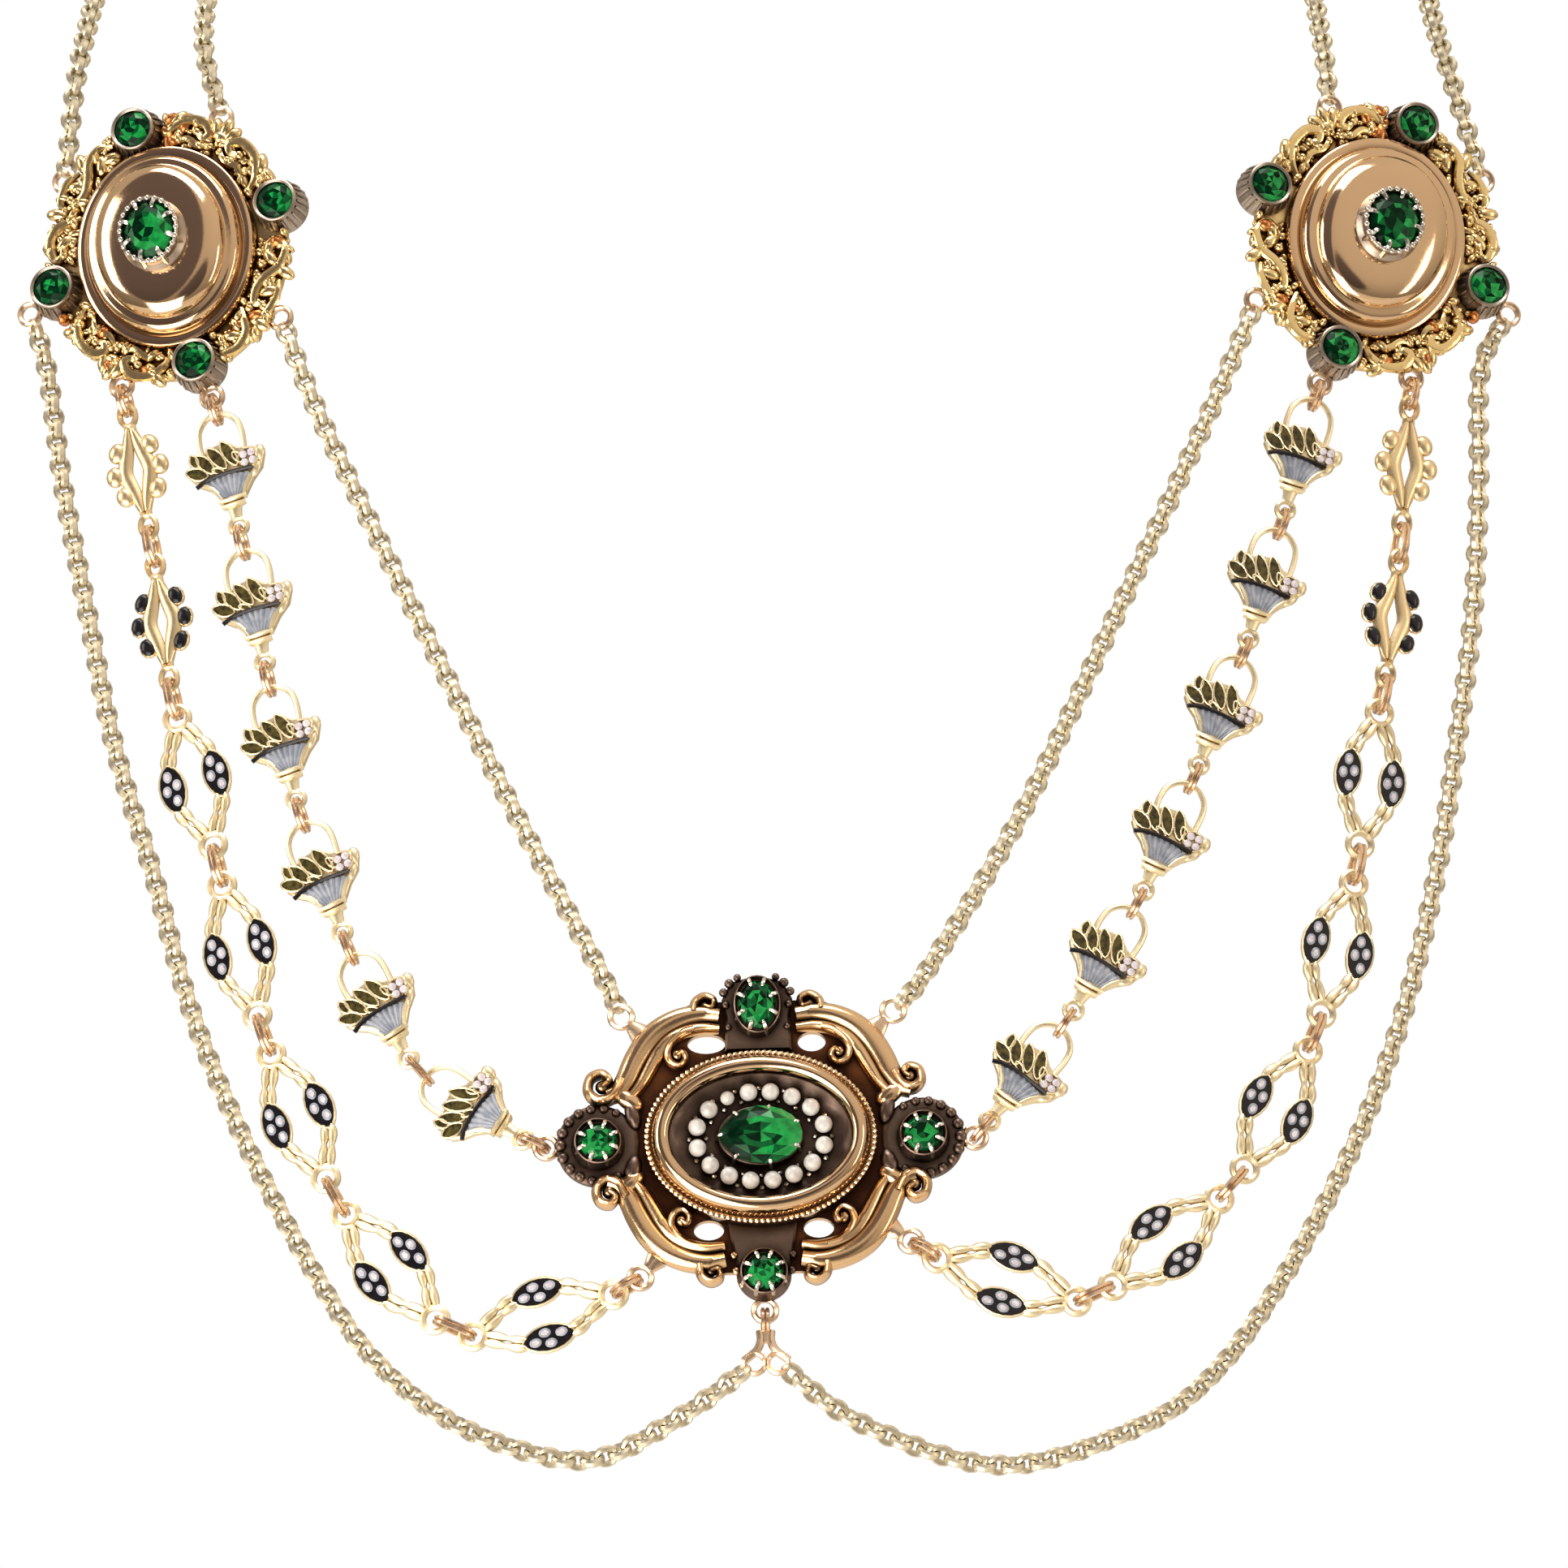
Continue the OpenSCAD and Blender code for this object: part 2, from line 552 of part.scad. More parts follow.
module plaque_dome(side) {
    collet_x = dome_stone_x / 2 + collet_room_x;
    collet_y = dome_stone_y / 2 + collet_room_y;
    inner = dome_x - collet_x;
    crown = dome_seat + dome_h;
    seat = crown + dome_collet_h - 0.7;
    stone_in = dome_x - dome_stone_x / 2 - seat_gap;
    color(ROSE_GOLD)
        oval_solid(dome_x, dome_y,
            [[inner - 0.6, crown - dome_wall - 0.1], [0.45 * inner, dome_seat + 0.72 * dome_h - dome_wall],
            [0.22 * inner + dome_wall, dome_seat + 0.3 * dome_h], [1.4, dome_seat], [0, dome_seat],
            [0, dome_seat + 0.12 * dome_h], [0.6, dome_seat + 0.22 * dome_h],
            [0.9, dome_seat + 0.3 * dome_h], [1.5, dome_seat + 0.5 * dome_h],
            [0.4 * inner, dome_seat + 0.78 * dome_h], [0.7 * inner, dome_seat + 0.94 * dome_h],
            [inner - 0.1, crown], [inner + 0.25, crown + 0.6 * dome_collet_h],
            [inner, crown + dome_collet_h], [stone_in, crown + dome_collet_h],
            [stone_in, seat - 0.6]],
            crown - dome_wall, seat - 0.6, 40, (dome_y - collet_y) / inner);
}

module plaque_stone(side) {
    rise = dome_seat + dome_h + dome_collet_h - 1.3 + 0.55 * dome_stone_x / 2 + gap / 2;
    color(GREEN)
        translate([0, 0, rise])
            cut_stone(dome_stone_x / 2, dome_stone_x / 2 + (dome_stone_y - dome_stone_x) / 2, 20);
}

module plaque_side_stones(side) {
    color(GREEN)
        for (cup = CUPS)
            translate([cup[0], cup[1], cup_h - 0.4 + gap / 2])
                cut_stone(side_stone_d / 2, side_stone_d / 2);
}

// Enamelled lozenge link, lying along X between its end rings
module lozenge_link() {
    arm_in = [lozenge_l / 2 - ring_d * 0.36, 0.36 * ring_d];
    arm_out = [0.42 * panel_l, panel_out];
    arm = arm_out - arm_in;
    bed = 0.2;
    difference() {
        translate([0, 0, -link_t / 2])
            linear_extrude(link_t) {
                for (side = SIDES)
                    translate([side * lozenge_l / 2, 0])
                        circle(ring_d / 2);
                for (across = SIDES) {
                    translate([0, across * panel_out])
                        leaf(panel_l, panel_w);
                    for (side = SIDES)
                        translate([side * (arm_in[0] + arm_out[0]) / 2,
                            across * (arm_in[1] + arm_out[1]) / 2])
                            rotate(side * across * atan2(arm[1], arm[0]))
                                leaf(norm(arm) + 1.2, 1.6);
                }
            }
        for (side = SIDES)
            translate([side * lozenge_l / 2, 0, -link_t])
                cylinder(h = 2 * link_t, d = hole_d);
        for (across = SIDES)
            translate([0, across * panel_out, link_t / 2 - bed])
                linear_extrude(link_t)
                    leaf(panel_l - 1, panel_w - 0.6);
    }
}

// Lobed link: a lens-shaped ring with three rounded lobes on each side
module lobed_link() {
    body_l = 0.68 * lobed_l;
    difference() {
        translate([0, 0, -link_t / 2])
            linear_extrude(link_t) {
                for (side = SIDES) {
                    translate([side * lobed_l / 2, 0])
                        circle(ring_d / 2);
                    translate([side * (lobed_l / 2 - 1.9), 0])
                        leaf(3.6, 1.8);
                }
                leaf(body_l, 0.57 * body_l);
                for (across = SIDES, i = [-1:1])
                    translate([i * 0.24 * body_l, across * (0.25 * body_l - 0.35 * abs(i))])
                        circle(0.135 * body_l);
            }
        for (side = SIDES)
            translate([side * lobed_l / 2, 0, -link_t])
                cylinder(h = 2 * link_t, d = hole_d);
        translate([0, 0, -link_t])
            linear_extrude(2 * link_t)
                leaf(0.66 * body_l, 0.27 * body_l);
    }
}

module lozenge(side, i) {
    curve = lozenge_curve(side);
    run = runs(curve);
    start = lozenge_start(last(run), i - 1);
    color(YELLOW_GOLD)
        between(along(curve, run, start), along(curve, run, start + lozenge_length(i - 1)))
            if (i <= LOBED) lobed_link();
            else lozenge_link();
}

// The jump rings stand across the flat links and pass through their end rings
module lozenge_rings(side) {
    curve = lozenge_curve(side);
    run = runs(curve);
    total = last(run);
    color(ROSE_GOLD)
        for (i = [0:LOZENGES])
            let (
                from = i == 0 ? 0 : lozenge_start(total, i - 1) + lozenge_length(i - 1),
                to = i == LOZENGES ? total : lozenge_start(total, i),
                a = along(curve, run, from),
                b = along(curve, run, to)
            )
            between(a, b)
                jump_ring(norm(b - a), jump_rise, jump_wire, jump_wide);
}

// Basket link, upright: handle above, leaves on the left, flower on the right, eye below.
// Heights are shares of the link's length, measured down from the handle wire.
rim_at = 0.53 * basket_l;
collar_at = 0.74 * basket_l;
neck_end = 0.9 * basket_l;

module basket_link() {
    top = basket_l / 2;
    leg = 0.3 * basket_l;
    arch = handle_w / 2;
    // handle wire
    translate([0, top - arch, 0])
        rotate_extrude(angle = 180)
            translate([arch, 0])
                circle(handle_wire / 2, $fn = 20);
    for (side = SIDES)
        translate([side * arch, top - leg - 0.6, 0])
            rotate([-90, 0, 0])
                cylinder(h = leg - arch + 0.6, r = handle_wire / 2, $fn = 20);
    difference() {
        translate([0, 0, -basket_t / 2])
            linear_extrude(basket_t) {
                // fan of leaves on the left, low hump on the right
                for (i = [0:5])
                    translate([(-0.42 + 0.14 * i) * basket_w, top - rim_at + 0.06 * basket_l])
                        rotate(90 + 34 - 15 * i)
                            translate([0.09 * basket_l, 0])
                                leaf(0.3 * basket_l, 0.13 * basket_l);
                // body, from the rim down to the collar
                polygon([[-basket_w / 2, top - rim_at], [-0.18 * basket_w, top - collar_at],
                    [0.18 * basket_w, top - collar_at], [basket_w / 2, top - rim_at],
                    [0.45 * basket_w, top - rim_at + 0.07 * basket_l],
                    [0, top - rim_at + 0.12 * basket_l],
                    [-0.45 * basket_w, top - rim_at + 0.07 * basket_l]]);
                // collar and neck
                translate([-0.21 * basket_w, top - collar_at - 0.5])
                    square([0.42 * basket_w, 0.9]);
                translate([-0.7, top - neck_end - 0.2])
                    square([1.4, neck_end - collar_at + 0.4]);
            }
        // the neck and the eye are thinner than the body
        for (face = SIDES)
            translate([-5, -basket_l / 2 - 3, face > 0 ? link_t / 2 - 0.1 : -link_t / 2 + 0.1 - basket_t])
                cube([10, basket_l - collar_at + 3 - 0.7, basket_t]);
        translate([0, -basket_l / 2, -basket_t])
            cylinder(h = 2 * basket_t, r = eye_hole_r);
    }
    // flower
    for (i = [0:3])
        translate([0.43 * basket_w, top - rim_at + 0.09 * basket_l, -basket_t / 2 - 0.1])
            rotate(45 + 90 * i)
                translate([0.75, 0, 0])
                    cylinder(h = basket_t + 0.2, r = 0.62, $fn = 24);
    difference() {
        translate([0, -basket_l / 2, -link_t / 2 + 0.1])
            cylinder(h = link_t - 0.2, r = eye_r);
        translate([0, -basket_l / 2, -basket_t])
            cylinder(h = 2 * basket_t, r = eye_hole_r);
    }
}

module basket(side, i) {
    curve = basket_curve(side);
    run = runs(curve);
    start = basket_start(last(run), i - 1);
    color(YELLOW_GOLD)
        between(along(curve, run, start), along(curve, run, start + basket_l))
            rotate([0, 0, 90])
                basket_link();
}

// Each ring passes through the eye above it and around the handle wire below it
module basket_rings(side) {
    curve = basket_curve(side);
    run = runs(curve);
    total = last(run);
    around = (handle_wire + jump_wire) / 2 + gap;
    color(ROSE_GOLD)
        for (i = [0:BASKETS])
            let (
                from = i == 0 ? 0 : basket_start(total, i - 1) + basket_l,
                to = i == BASKETS ? total : basket_start(total, i),
                a = along(curve, run, from),
                b = along(curve, run, to),
                reach = i == BASKETS ? 0 : around
            )
            between(a, b)
                translate([reach / 2, 0, 0])
                    jump_ring(norm(b - a) + reach, jump_rise, jump_wire, 1.6 * jump_wire);
}

// Chains
loop_trim = ring_d / 2 + gap;

module inner_chain(side) {
    curve = strand(plaque_loop(side, INNER_FRONT), INNER_ROUTE[side_i(side)],
        on_centre(centre_loop_local(CENTRE_INNER[side_i(side)])));
    color(YELLOW_GOLD)
        tube(curve, loop_trim, loop_trim, 6, [0, 1, 0]);
}

// The outer chains hang from the side plaques and meet under the centre plaque
drop_l = 4.2;
drop_ring_l = 1.9;
drop_eye_r = ring_d / 2 - 0.1;
drop_eye_x = 0.88 * drop_eye_r;
drop_eye = south_loop - [0, drop_l + 1.1];

module outer_chain(side) {
    curve = strand(plaque_loop(side, OUTER_FRONT), OUTER_ROUTE[side_i(side)],
        on_centre(drop_eye + [side * drop_eye_x, 0]));
    color(YELLOW_GOLD)
        tube(curve, loop_trim, loop_trim + 0.1, 20, [0, 1, 0]);
}

clasp_loop_x = clasp_l / 2 + ring_d / 2 - lap;
clasp_loop_z = clasp_h / 2 - ring_d / 2;
function mirrored(points, side) = [for (p = points) [side * p[0], p[1], p[2]]];

module back_chain(side, inner) {
    curve = smooth(concat([plaque_loop(side, inner ? INNER_BACK : OUTER_BACK)],
        mirrored(inner ? BACK_INNER : BACK_OUTER, side),
        [[side * clasp_loop_x, clasp_t / 2, (inner ? 1 : -1) * clasp_loop_z]]));
    color(YELLOW_GOLD)
        tube(curve, loop_trim, loop_trim, 8, [0, 0, 1]);
}

// Tapered link: a ring through the plaque's south loop, a bar, and two eyes for the outer chains
module drop_link() {
    color(YELLOW_GOLD)
        translate([south_loop[0], south_loop[1], frame_t / 2]) {
            translate([0, -drop_ring_l / 2, 0])
                rotate([0, 0, 90])
                    jump_ring(drop_ring_l, (frame_t + jump_wire) / 2 + gap, jump_wire, jump_wide);
            difference() {
                translate([0, 0, -link_t / 2])
                    linear_extrude(link_t) {
                        polygon([[-0.55, -2.05], [0.55, -2.05], [0.7, -drop_l],
                            [drop_eye_x + 0.6, -drop_l - 0.7], [-drop_eye_x - 0.6, -drop_l - 0.7],
                            [-0.7, -drop_l]]);
                        for (side = SIDES)
                            translate([side * drop_eye_x, -drop_l - 1.1])
                                circle(drop_eye_r);
                    }
                for (side = SIDES)
                    translate([side * drop_eye_x, -drop_l - 1.1, -link_t])
                        cylinder(h = 2 * link_t, d = hole_d - 0.1);
            }
        }
}

// Plain clasp: a flat bar with rounded edges and a loop for each of the four back chains
module clasp() {
    color(YELLOW_GOLD)
        translate([0, clasp_t / 2, 0])
            rotate([90, 0, 0])
                difference() {
                    union() {
                        translate([-clasp_l / 2, -clasp_h / 2, -clasp_t / 2])
                            cube([clasp_l, clasp_h, clasp_t]);
                        translate([0, 0, -link_t / 2])
                            linear_extrude(link_t)
                                for (side = SIDES, row = SIDES)
                                    translate([side * clasp_loop_x, row * clasp_loop_z])
                                        circle(ring_d / 2);
                    }
                    for (side = SIDES, row = SIDES)
                        translate([side * clasp_loop_x, row * clasp_loop_z, -link_t])
                            cylinder(h = 2 * link_t, d = hole_d);
                }
}

module on_centre_plaque() {
    on_place(CENTRE_PLACE, centre_turn)
        children();
}

module on_side_plaque(side) {
    on_place(PLAQUE_PLACE[side_i(side)], plaque_turn(side))
        children();
}

// The assembly
on_centre_plaque() centre_frame();
on_centre_plaque() centre_bezel();
on_centre_plaque() centre_stone();
on_centre_plaque() centre_pearls();
on_centre_plaque() small_stone(0);  // centre_stone_north
on_centre_plaque() small_stone(1);  // centre_stone_east
on_centre_plaque() small_stone(2);  // centre_stone_south
on_centre_plaque() small_stone(3);  // centre_stone_west
clasp();
on_centre_plaque() drop_link();
for (side = SIDES, name = [side < 0 ? "left" : "right"]) {
    on_side_plaque(side) plaque_frame(side);
    on_side_plaque(side) plaque_dome(side);
    on_side_plaque(side) plaque_stone(side);
    on_side_plaque(side) plaque_side_stones(side);
    back_chain(side, true);
    back_chain(side, false);
    inner_chain(side);
    outer_chain(side);
    basket_rings(side);
    lozenge_rings(side);
    for (i = [1:BASKETS])
        basket(side, i);
    for (i = [1:LOZENGES])
        lozenge(side, i);
}
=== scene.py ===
import math
import random

import bmesh
import bpy
from mathutils import Matrix, Vector


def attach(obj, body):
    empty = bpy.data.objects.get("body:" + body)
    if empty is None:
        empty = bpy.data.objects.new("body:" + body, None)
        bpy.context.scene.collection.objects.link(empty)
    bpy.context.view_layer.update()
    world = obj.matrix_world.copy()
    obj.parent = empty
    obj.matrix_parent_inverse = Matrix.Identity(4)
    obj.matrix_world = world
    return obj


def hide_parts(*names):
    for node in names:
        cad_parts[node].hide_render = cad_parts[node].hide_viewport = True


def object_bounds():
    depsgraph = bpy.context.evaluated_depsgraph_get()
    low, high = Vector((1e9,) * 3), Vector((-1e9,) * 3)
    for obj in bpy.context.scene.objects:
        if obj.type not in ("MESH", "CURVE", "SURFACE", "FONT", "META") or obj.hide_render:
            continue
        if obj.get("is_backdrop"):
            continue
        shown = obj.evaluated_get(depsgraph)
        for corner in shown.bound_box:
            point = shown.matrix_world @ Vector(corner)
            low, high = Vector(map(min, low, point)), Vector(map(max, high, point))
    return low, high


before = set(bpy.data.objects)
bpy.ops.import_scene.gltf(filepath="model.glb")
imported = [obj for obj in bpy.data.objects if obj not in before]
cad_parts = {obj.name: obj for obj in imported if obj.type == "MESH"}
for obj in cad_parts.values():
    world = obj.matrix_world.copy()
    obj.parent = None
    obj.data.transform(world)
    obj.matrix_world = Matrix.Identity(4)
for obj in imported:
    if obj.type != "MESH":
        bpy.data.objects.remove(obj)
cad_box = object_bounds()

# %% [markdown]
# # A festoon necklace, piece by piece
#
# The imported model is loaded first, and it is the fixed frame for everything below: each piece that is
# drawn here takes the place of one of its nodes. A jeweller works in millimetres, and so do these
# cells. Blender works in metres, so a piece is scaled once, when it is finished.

MM = 0.001
UP = Vector((0, 0, 1))
SIDES = {"left": -1, "right": 1}
low, high = cad_box
print("packed model, mm:", [round((b - a) / MM, 1) for a, b in zip(low, high)])

# %% [markdown]
# ## Where the pieces lie
#
# A necklace takes its form from the chest that it lies on. That surface is one formula here, the same
# as in the part's source: it leans forward as it goes down, and falls back towards the shoulders. Each
# plaque then has a frame of its own, with X to its right, Y to its top and Z off the chest, and is
# drawn flat in that frame. This is simpler than bending a finished piece, and cast metal doesn't bend.

# %% The chest and the three plaques
CHEST_FRONT, CHEST_DROP, CHEST_LEAN, CHEST_BEND = 105, 70, 0.325, 0.0027


def chest(x, z):
    """The point of the chest at this width and height, in millimetres."""
    return Vector((x, -CHEST_FRONT + CHEST_LEAN * (z + CHEST_DROP) + CHEST_BEND * x * x, z))


def off_chest(x):
    """The direction straight off the chest."""
    return Vector((2 * CHEST_BEND * x, -1, CHEST_LEAN)).normalized()


def axes_at(point, along, out):
    """A frame at a point, with X along a direction and Z as near as can be to another."""
    x = along.normalized()
    z = (out - x * out.dot(x)).normalized()
    axes = Matrix((x, z.cross(x), z)).transposed().to_4x4()
    axes.translation = point
    return axes


def plaque_place(x, z, turn):
    """The frame of a plaque that lies on the chest, turned by some degrees."""
    level = Vector((1, 2 * CHEST_BEND * x, 0))
    return axes_at(chest(x, z), level, off_chest(x)) @ Matrix.Rotation(math.radians(turn), 4, "Z")


CENTRE = plaque_place(0, -158, 1.5)
PLAQUE = {"left": plaque_place(-60.5, -68, 21), "right": plaque_place(62.5, -67, -25)}
print("centre plaque, mm:", [round(v, 1) for v in CENTRE.translation])

# %% [markdown]
# ## Drawing with rings
#
# Wires, scrolls, domes and cups look different, but a goldsmith's work is nearly all one idea: an
# outline carried along a line. So one helper carries a circle through a row of places, by extruding
# its edge and moving the new edge on. A sweep lays those places along a path, and a turned shape
# stacks them. Modifiers could do the same, but a closed mesh made at once needs no clean-up.

# %% Rings, sweeps and turned shapes
scratch = bpy.data.meshes.new("scratch")


def settle(bm, part, material=0):
    """Turns a small closed part the right way out, and adds it to the piece that is being drawn."""
    bmesh.ops.recalc_face_normals(part, faces=part.faces)
    for face in part.faces:
        face.material_index += material
    part.to_mesh(scratch)
    part.free()
    bm.from_mesh(scratch)


def loft(bm, marks, sides, closed=False, material=0):
    """Carries a unit circle through a row of places, and closes its ends."""
    part = bmesh.new()
    bmesh.ops.create_circle(part, cap_ends=False, segments=sides, radius=1, matrix=marks[0])
    first = ring = part.edges[:]
    for here, there in zip(marks, marks[1:]):
        grown = bmesh.ops.extrude_edge_only(part, edges=ring)["geom"]
        verts = {g for g in grown if isinstance(g, bmesh.types.BMVert)}
        ring = [g for g in grown if isinstance(g, bmesh.types.BMEdge) and verts.issuperset(g.verts)]
        bmesh.ops.transform(part, matrix=there @ here.inverted(), verts=list(verts))
    if closed:
        bmesh.ops.bridge_loops(part, edges=first + ring)
    else:
        for end in (first, ring):
            bmesh.ops.contextual_create(part, geom=end)
    settle(bm, part, material)


def sweep(bm, path, size, up=UP, sides=8, closed=False, material=0):
    """Draws a wire along a path; size is its half width and half height, or a function of the way along."""
    count = len(path)
    marks = []
    for i, point in enumerate(path):
        before = path[i - 1] if closed or i else point
        after = path[(i + 1) % count] if closed or i + 1 < count else point
        ahead = (after - before).normalized()
        side = ahead.cross(up).normalized()
        wide, tall = size(i / (count - 1)) if callable(size) else size
        mark = Matrix((side * wide, side.cross(ahead) * tall, ahead)).transposed().to_4x4()
        mark.translation = point
        marks.append(mark)
    loft(bm, marks, sides, closed, material)


def turned(bm, half_x, half_y, rows, at=(0, 0, 0), sides=64, material=0):
    """Draws a turned shape with an oval outline; each row is an inset from the outline and a height."""
    place = Matrix.Translation(at)
    marks = []
    for inset, rise in rows:
        marks.append(place @ Matrix.Translation((0, 0, rise))
                     @ Matrix.Diagonal((half_x - inset, half_y - inset, 1, 1)))
    loft(bm, marks, sides, material=material)


def bead(bm, at, r, stretch=(1, 1, 1), turn=0, fine=2, material=0):
    """Draws a ball, or an egg where stretch says so."""
    part = bmesh.new()
    place = Matrix.Translation(at) @ Matrix.Rotation(math.radians(turn), 4, "Z")
    bmesh.ops.create_icosphere(part, subdivisions=fine, radius=r,
                               matrix=place @ Matrix.Diagonal((*stretch, 1)))
    settle(bm, part, material)


def tablet(bm, outline, low, high, edge=0.1, material=0, place=Matrix()):
    """Draws a flat piece with this outline and a soft upper edge."""
    part = bmesh.new()
    base = bmesh.ops.contextual_create(part, geom=[part.verts.new(p) for p in outline])["faces"]
    bmesh.ops.translate(part, verts=part.verts, vec=(0, 0, low))
    grown = bmesh.ops.extrude_face_region(part, geom=base)["geom"]
    bmesh.ops.translate(part, verts=[g for g in grown if isinstance(g, bmesh.types.BMVert)],
                        vec=(0, 0, high - edge - low))
    top = [g for g in grown if isinstance(g, bmesh.types.BMFace)]
    bmesh.ops.contextual_create(part, geom=[e for e in part.edges if e.is_boundary])
    bmesh.ops.inset_region(part, faces=top, thickness=edge, depth=0)
    bmesh.ops.translate(part, verts=top[0].verts, vec=(0, 0, edge))
    bmesh.ops.transform(part, matrix=place, verts=part.verts)
    settle(bm, part, material)


# %% [markdown]
# Two more habits save much work. A curve through a few points is smoothed by a Catmull-Rom spline, so
# a scroll needs only the points that its shape needs. And what repeats, such as a chain link, is drawn
# once as a small mesh and stamped wherever it is wanted.

# %% Curves, stamps and finished pieces


def curve(points, steps=6):
    """A smooth run of points through a few given ones."""
    points = [Vector(p).to_3d() for p in points]
    ends = [2 * points[0] - points[1]] + points + [2 * points[-1] - points[-2]]
    run = []
    for a, b, c, d in zip(ends, ends[1:], ends[2:], ends[3:]):
        for k in range(steps):
            t = k / steps
            run.append(0.5 * (2 * b + (c - a) * t + (2 * a - 5 * b + 4 * c - d) * t * t
                              + (3 * b - 3 * c + d - a) * t ** 3))
    return run + [points[-1]]


def oval(half_x, half_y, count, at=(0, 0, 0), start=0.0):
    """Points around an oval."""
    turns = [math.tau * (i + start) / count for i in range(count)]
    return [Vector(at) + Vector((half_x * math.cos(a), half_y * math.sin(a), 0)) for a in turns]


def flat(points):
    """Points of a plane outline, in space."""
    return [Vector((x, y, 0)) for x, y in points]


def polar(r, degrees, rise=0.0):
    """The point at this distance and angle in a plaque's own plane."""
    return Vector((r * math.cos(math.radians(degrees)), r * math.sin(math.radians(degrees)), rise))


def pattern(name, draw):
    """Draws a small mesh once, to be stamped many times."""
    bm = bmesh.new()
    draw(bm)
    mesh = bpy.data.meshes.new(name)
    bm.to_mesh(mesh)
    bm.free()
    return mesh


def stamp(bm, mesh, place):
    """Adds a copy of a small mesh to the piece that is being drawn."""
    copy = mesh.copy()
    copy.transform(place)
    if place.determinant() < 0:
        copy.flip_normals()
    bm.from_mesh(copy)
    bpy.data.meshes.remove(copy)


def finish(name, bm, place, materials, replaces, crease=38):
    """Makes a drawn piece an object in the necklace's frame, in metres, which rides on the model."""
    bm.transform(Matrix.Scale(MM, 4) @ place)
    for face in bm.faces:
        face.smooth = crease > 0
    for edge in bm.edges:
        edge.smooth = edge.calc_face_angle(math.pi) < math.radians(crease)
    mesh = bpy.data.meshes.new(name)
    bm.to_mesh(mesh)
    bm.free()
    for material in materials:
        mesh.materials.append(material)
    piece = bpy.data.objects.new(name, mesh)
    bpy.context.scene.collection.objects.link(piece)
    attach(piece, "root")
    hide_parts(*replaces)
    print(f"{name}: {len(mesh.polygons)} faces")


# %% [markdown]
# ## Finishes
#
# One small function adds a node with its settings and links, and another turns the colours that a
# paint chart gives, sRGB hex values, to the linear values that a shader wants. Patterns read Object
# coordinates, which are metres here, so the scale of a pattern is one over its real size.

# %% Node and colour helpers


def add(tree, kind, inputs=None, **settings):
    """Adds one node, with its settings, and its inputs as values or as links from other nodes."""
    node = tree.nodes.new("ShaderNode" + kind)
    for key, value in settings.items():
        setattr(node, key, value)
    for key, value in (inputs or {}).items():
        if isinstance(value, bpy.types.NodeSocket):
            tree.links.new(value, node.inputs[key])
        else:
            node.inputs[key].default_value = value
    return node


def linear(code):
    """An sRGB hex colour as linear red, green, blue and alpha."""
    parts = [int(code[i:i + 2], 16) / 255 for i in (1, 3, 5)]
    return [c / 12.92 if c <= 0.04045 else ((c + 0.055) / 1.055) ** 2.4 for c in parts] + [1]


def new_material(name):
    """An empty material, its node tree, its shader, and Object coordinates."""
    material = bpy.data.materials.new(name)
    material.use_nodes = True
    tree = material.node_tree
    return material, tree, tree.nodes["Principled BSDF"], add(tree, "TexCoord").outputs["Object"]


# %% [markdown]
# ### Metals
#
# Old gold is never one colour. Fingers and cloth keep its ridges bright, while the hollows beside them
# hold a brown film of wax and oxide. Ambient occlusion measures how closed in a spot is, and the colour
# of that film is painted where it finds a hollow: partly the film, and partly painted shade, where shade
# falls on the hollows. A noise breaks its edge. A second, finer noise bends the polish a little, as
# hand buffing does, and spreads the highlights. Metals keep the default IOR.

# %% A metal with film and painted shade in its hollows


def metal(name, bright, film_and_shade, roughness, film_shade_reach, film_shade_from=0.35, film_shade_to=0.8, dent=0.04, grain=0.35):
    """A worn metal with its hollows painted darker, as film and painted shade. The reach of that darkening
    and grain are sizes in millimetres; dent is the strength of its bumps.
    """
    material, tree, shader, spot = new_material(name)
    cloud = add(tree, "TexNoise", {"Vector": spot, "Scale": 1 / (2.2 * MM), "Detail": 4})
    open_air = add(tree, "AmbientOcclusion", {"Distance": film_shade_reach * MM}, samples=8)
    uneven = add(tree, "Math", {0: cloud.outputs["Fac"], 1: 0.5}, operation="SUBTRACT")
    edge = add(tree, "Math", {0: uneven.outputs[0], 1: 0.35, 2: open_air.outputs["AO"]},
               operation="MULTIPLY_ADD")
    # Hollows that the occlusion finds get the dark colour: painted shade there, over a real film
    clean_and_unshaded = add(tree, "MapRange", {"Value": edge.outputs[0], "From Min": film_shade_from, "From Max": film_shade_to})
    colour = add(tree, "Mix", {"Factor": clean_and_unshaded.outputs[0], "A": linear(film_and_shade), "B": linear(bright)},
                 data_type="RGBA")
    tree.links.new(colour.outputs["Result"], shader.inputs["Base Color"])
    buff = add(tree, "TexNoise", {"Vector": spot, "Scale": 1 / (grain * MM), "Detail": 3})
    haze = add(tree, "MapRange", {"Value": buff.outputs["Fac"], "To Min": roughness * 0.7,
                                  "To Max": roughness * 1.5})
    dull = add(tree, "Mix", {"Factor": clean_and_unshaded.outputs[0], "A": 0.5, "B": haze.outputs[0]})
    tree.links.new(dull.outputs["Result"], shader.inputs["Roughness"])
    bump = add(tree, "Bump", {"Height": buff.outputs["Fac"], "Strength": dent, "Distance": 0.1 * MM})
    tree.links.new(bump.outputs["Normal"], shader.inputs["Normal"])
    shader.inputs["Metallic"].default_value = 1
    return material


# Low-carat gold with much copper in it, rolled, pressed and burnished: a warm tan mirror
rose_gold = metal("burnished_rose_gold", "#E0BF98", "#6A4630", 0.09, 1.2, 0.2, 0.6)
# The same sheet where scrolls were chased into it, with its grooves painted dark brown: years of brown wax,
# and painted shade
chased_gold = metal("chased_rose_gold", "#EBC79A", "#3E2415", 0.17, 1.6, 0.4, 0.78, 0.06)
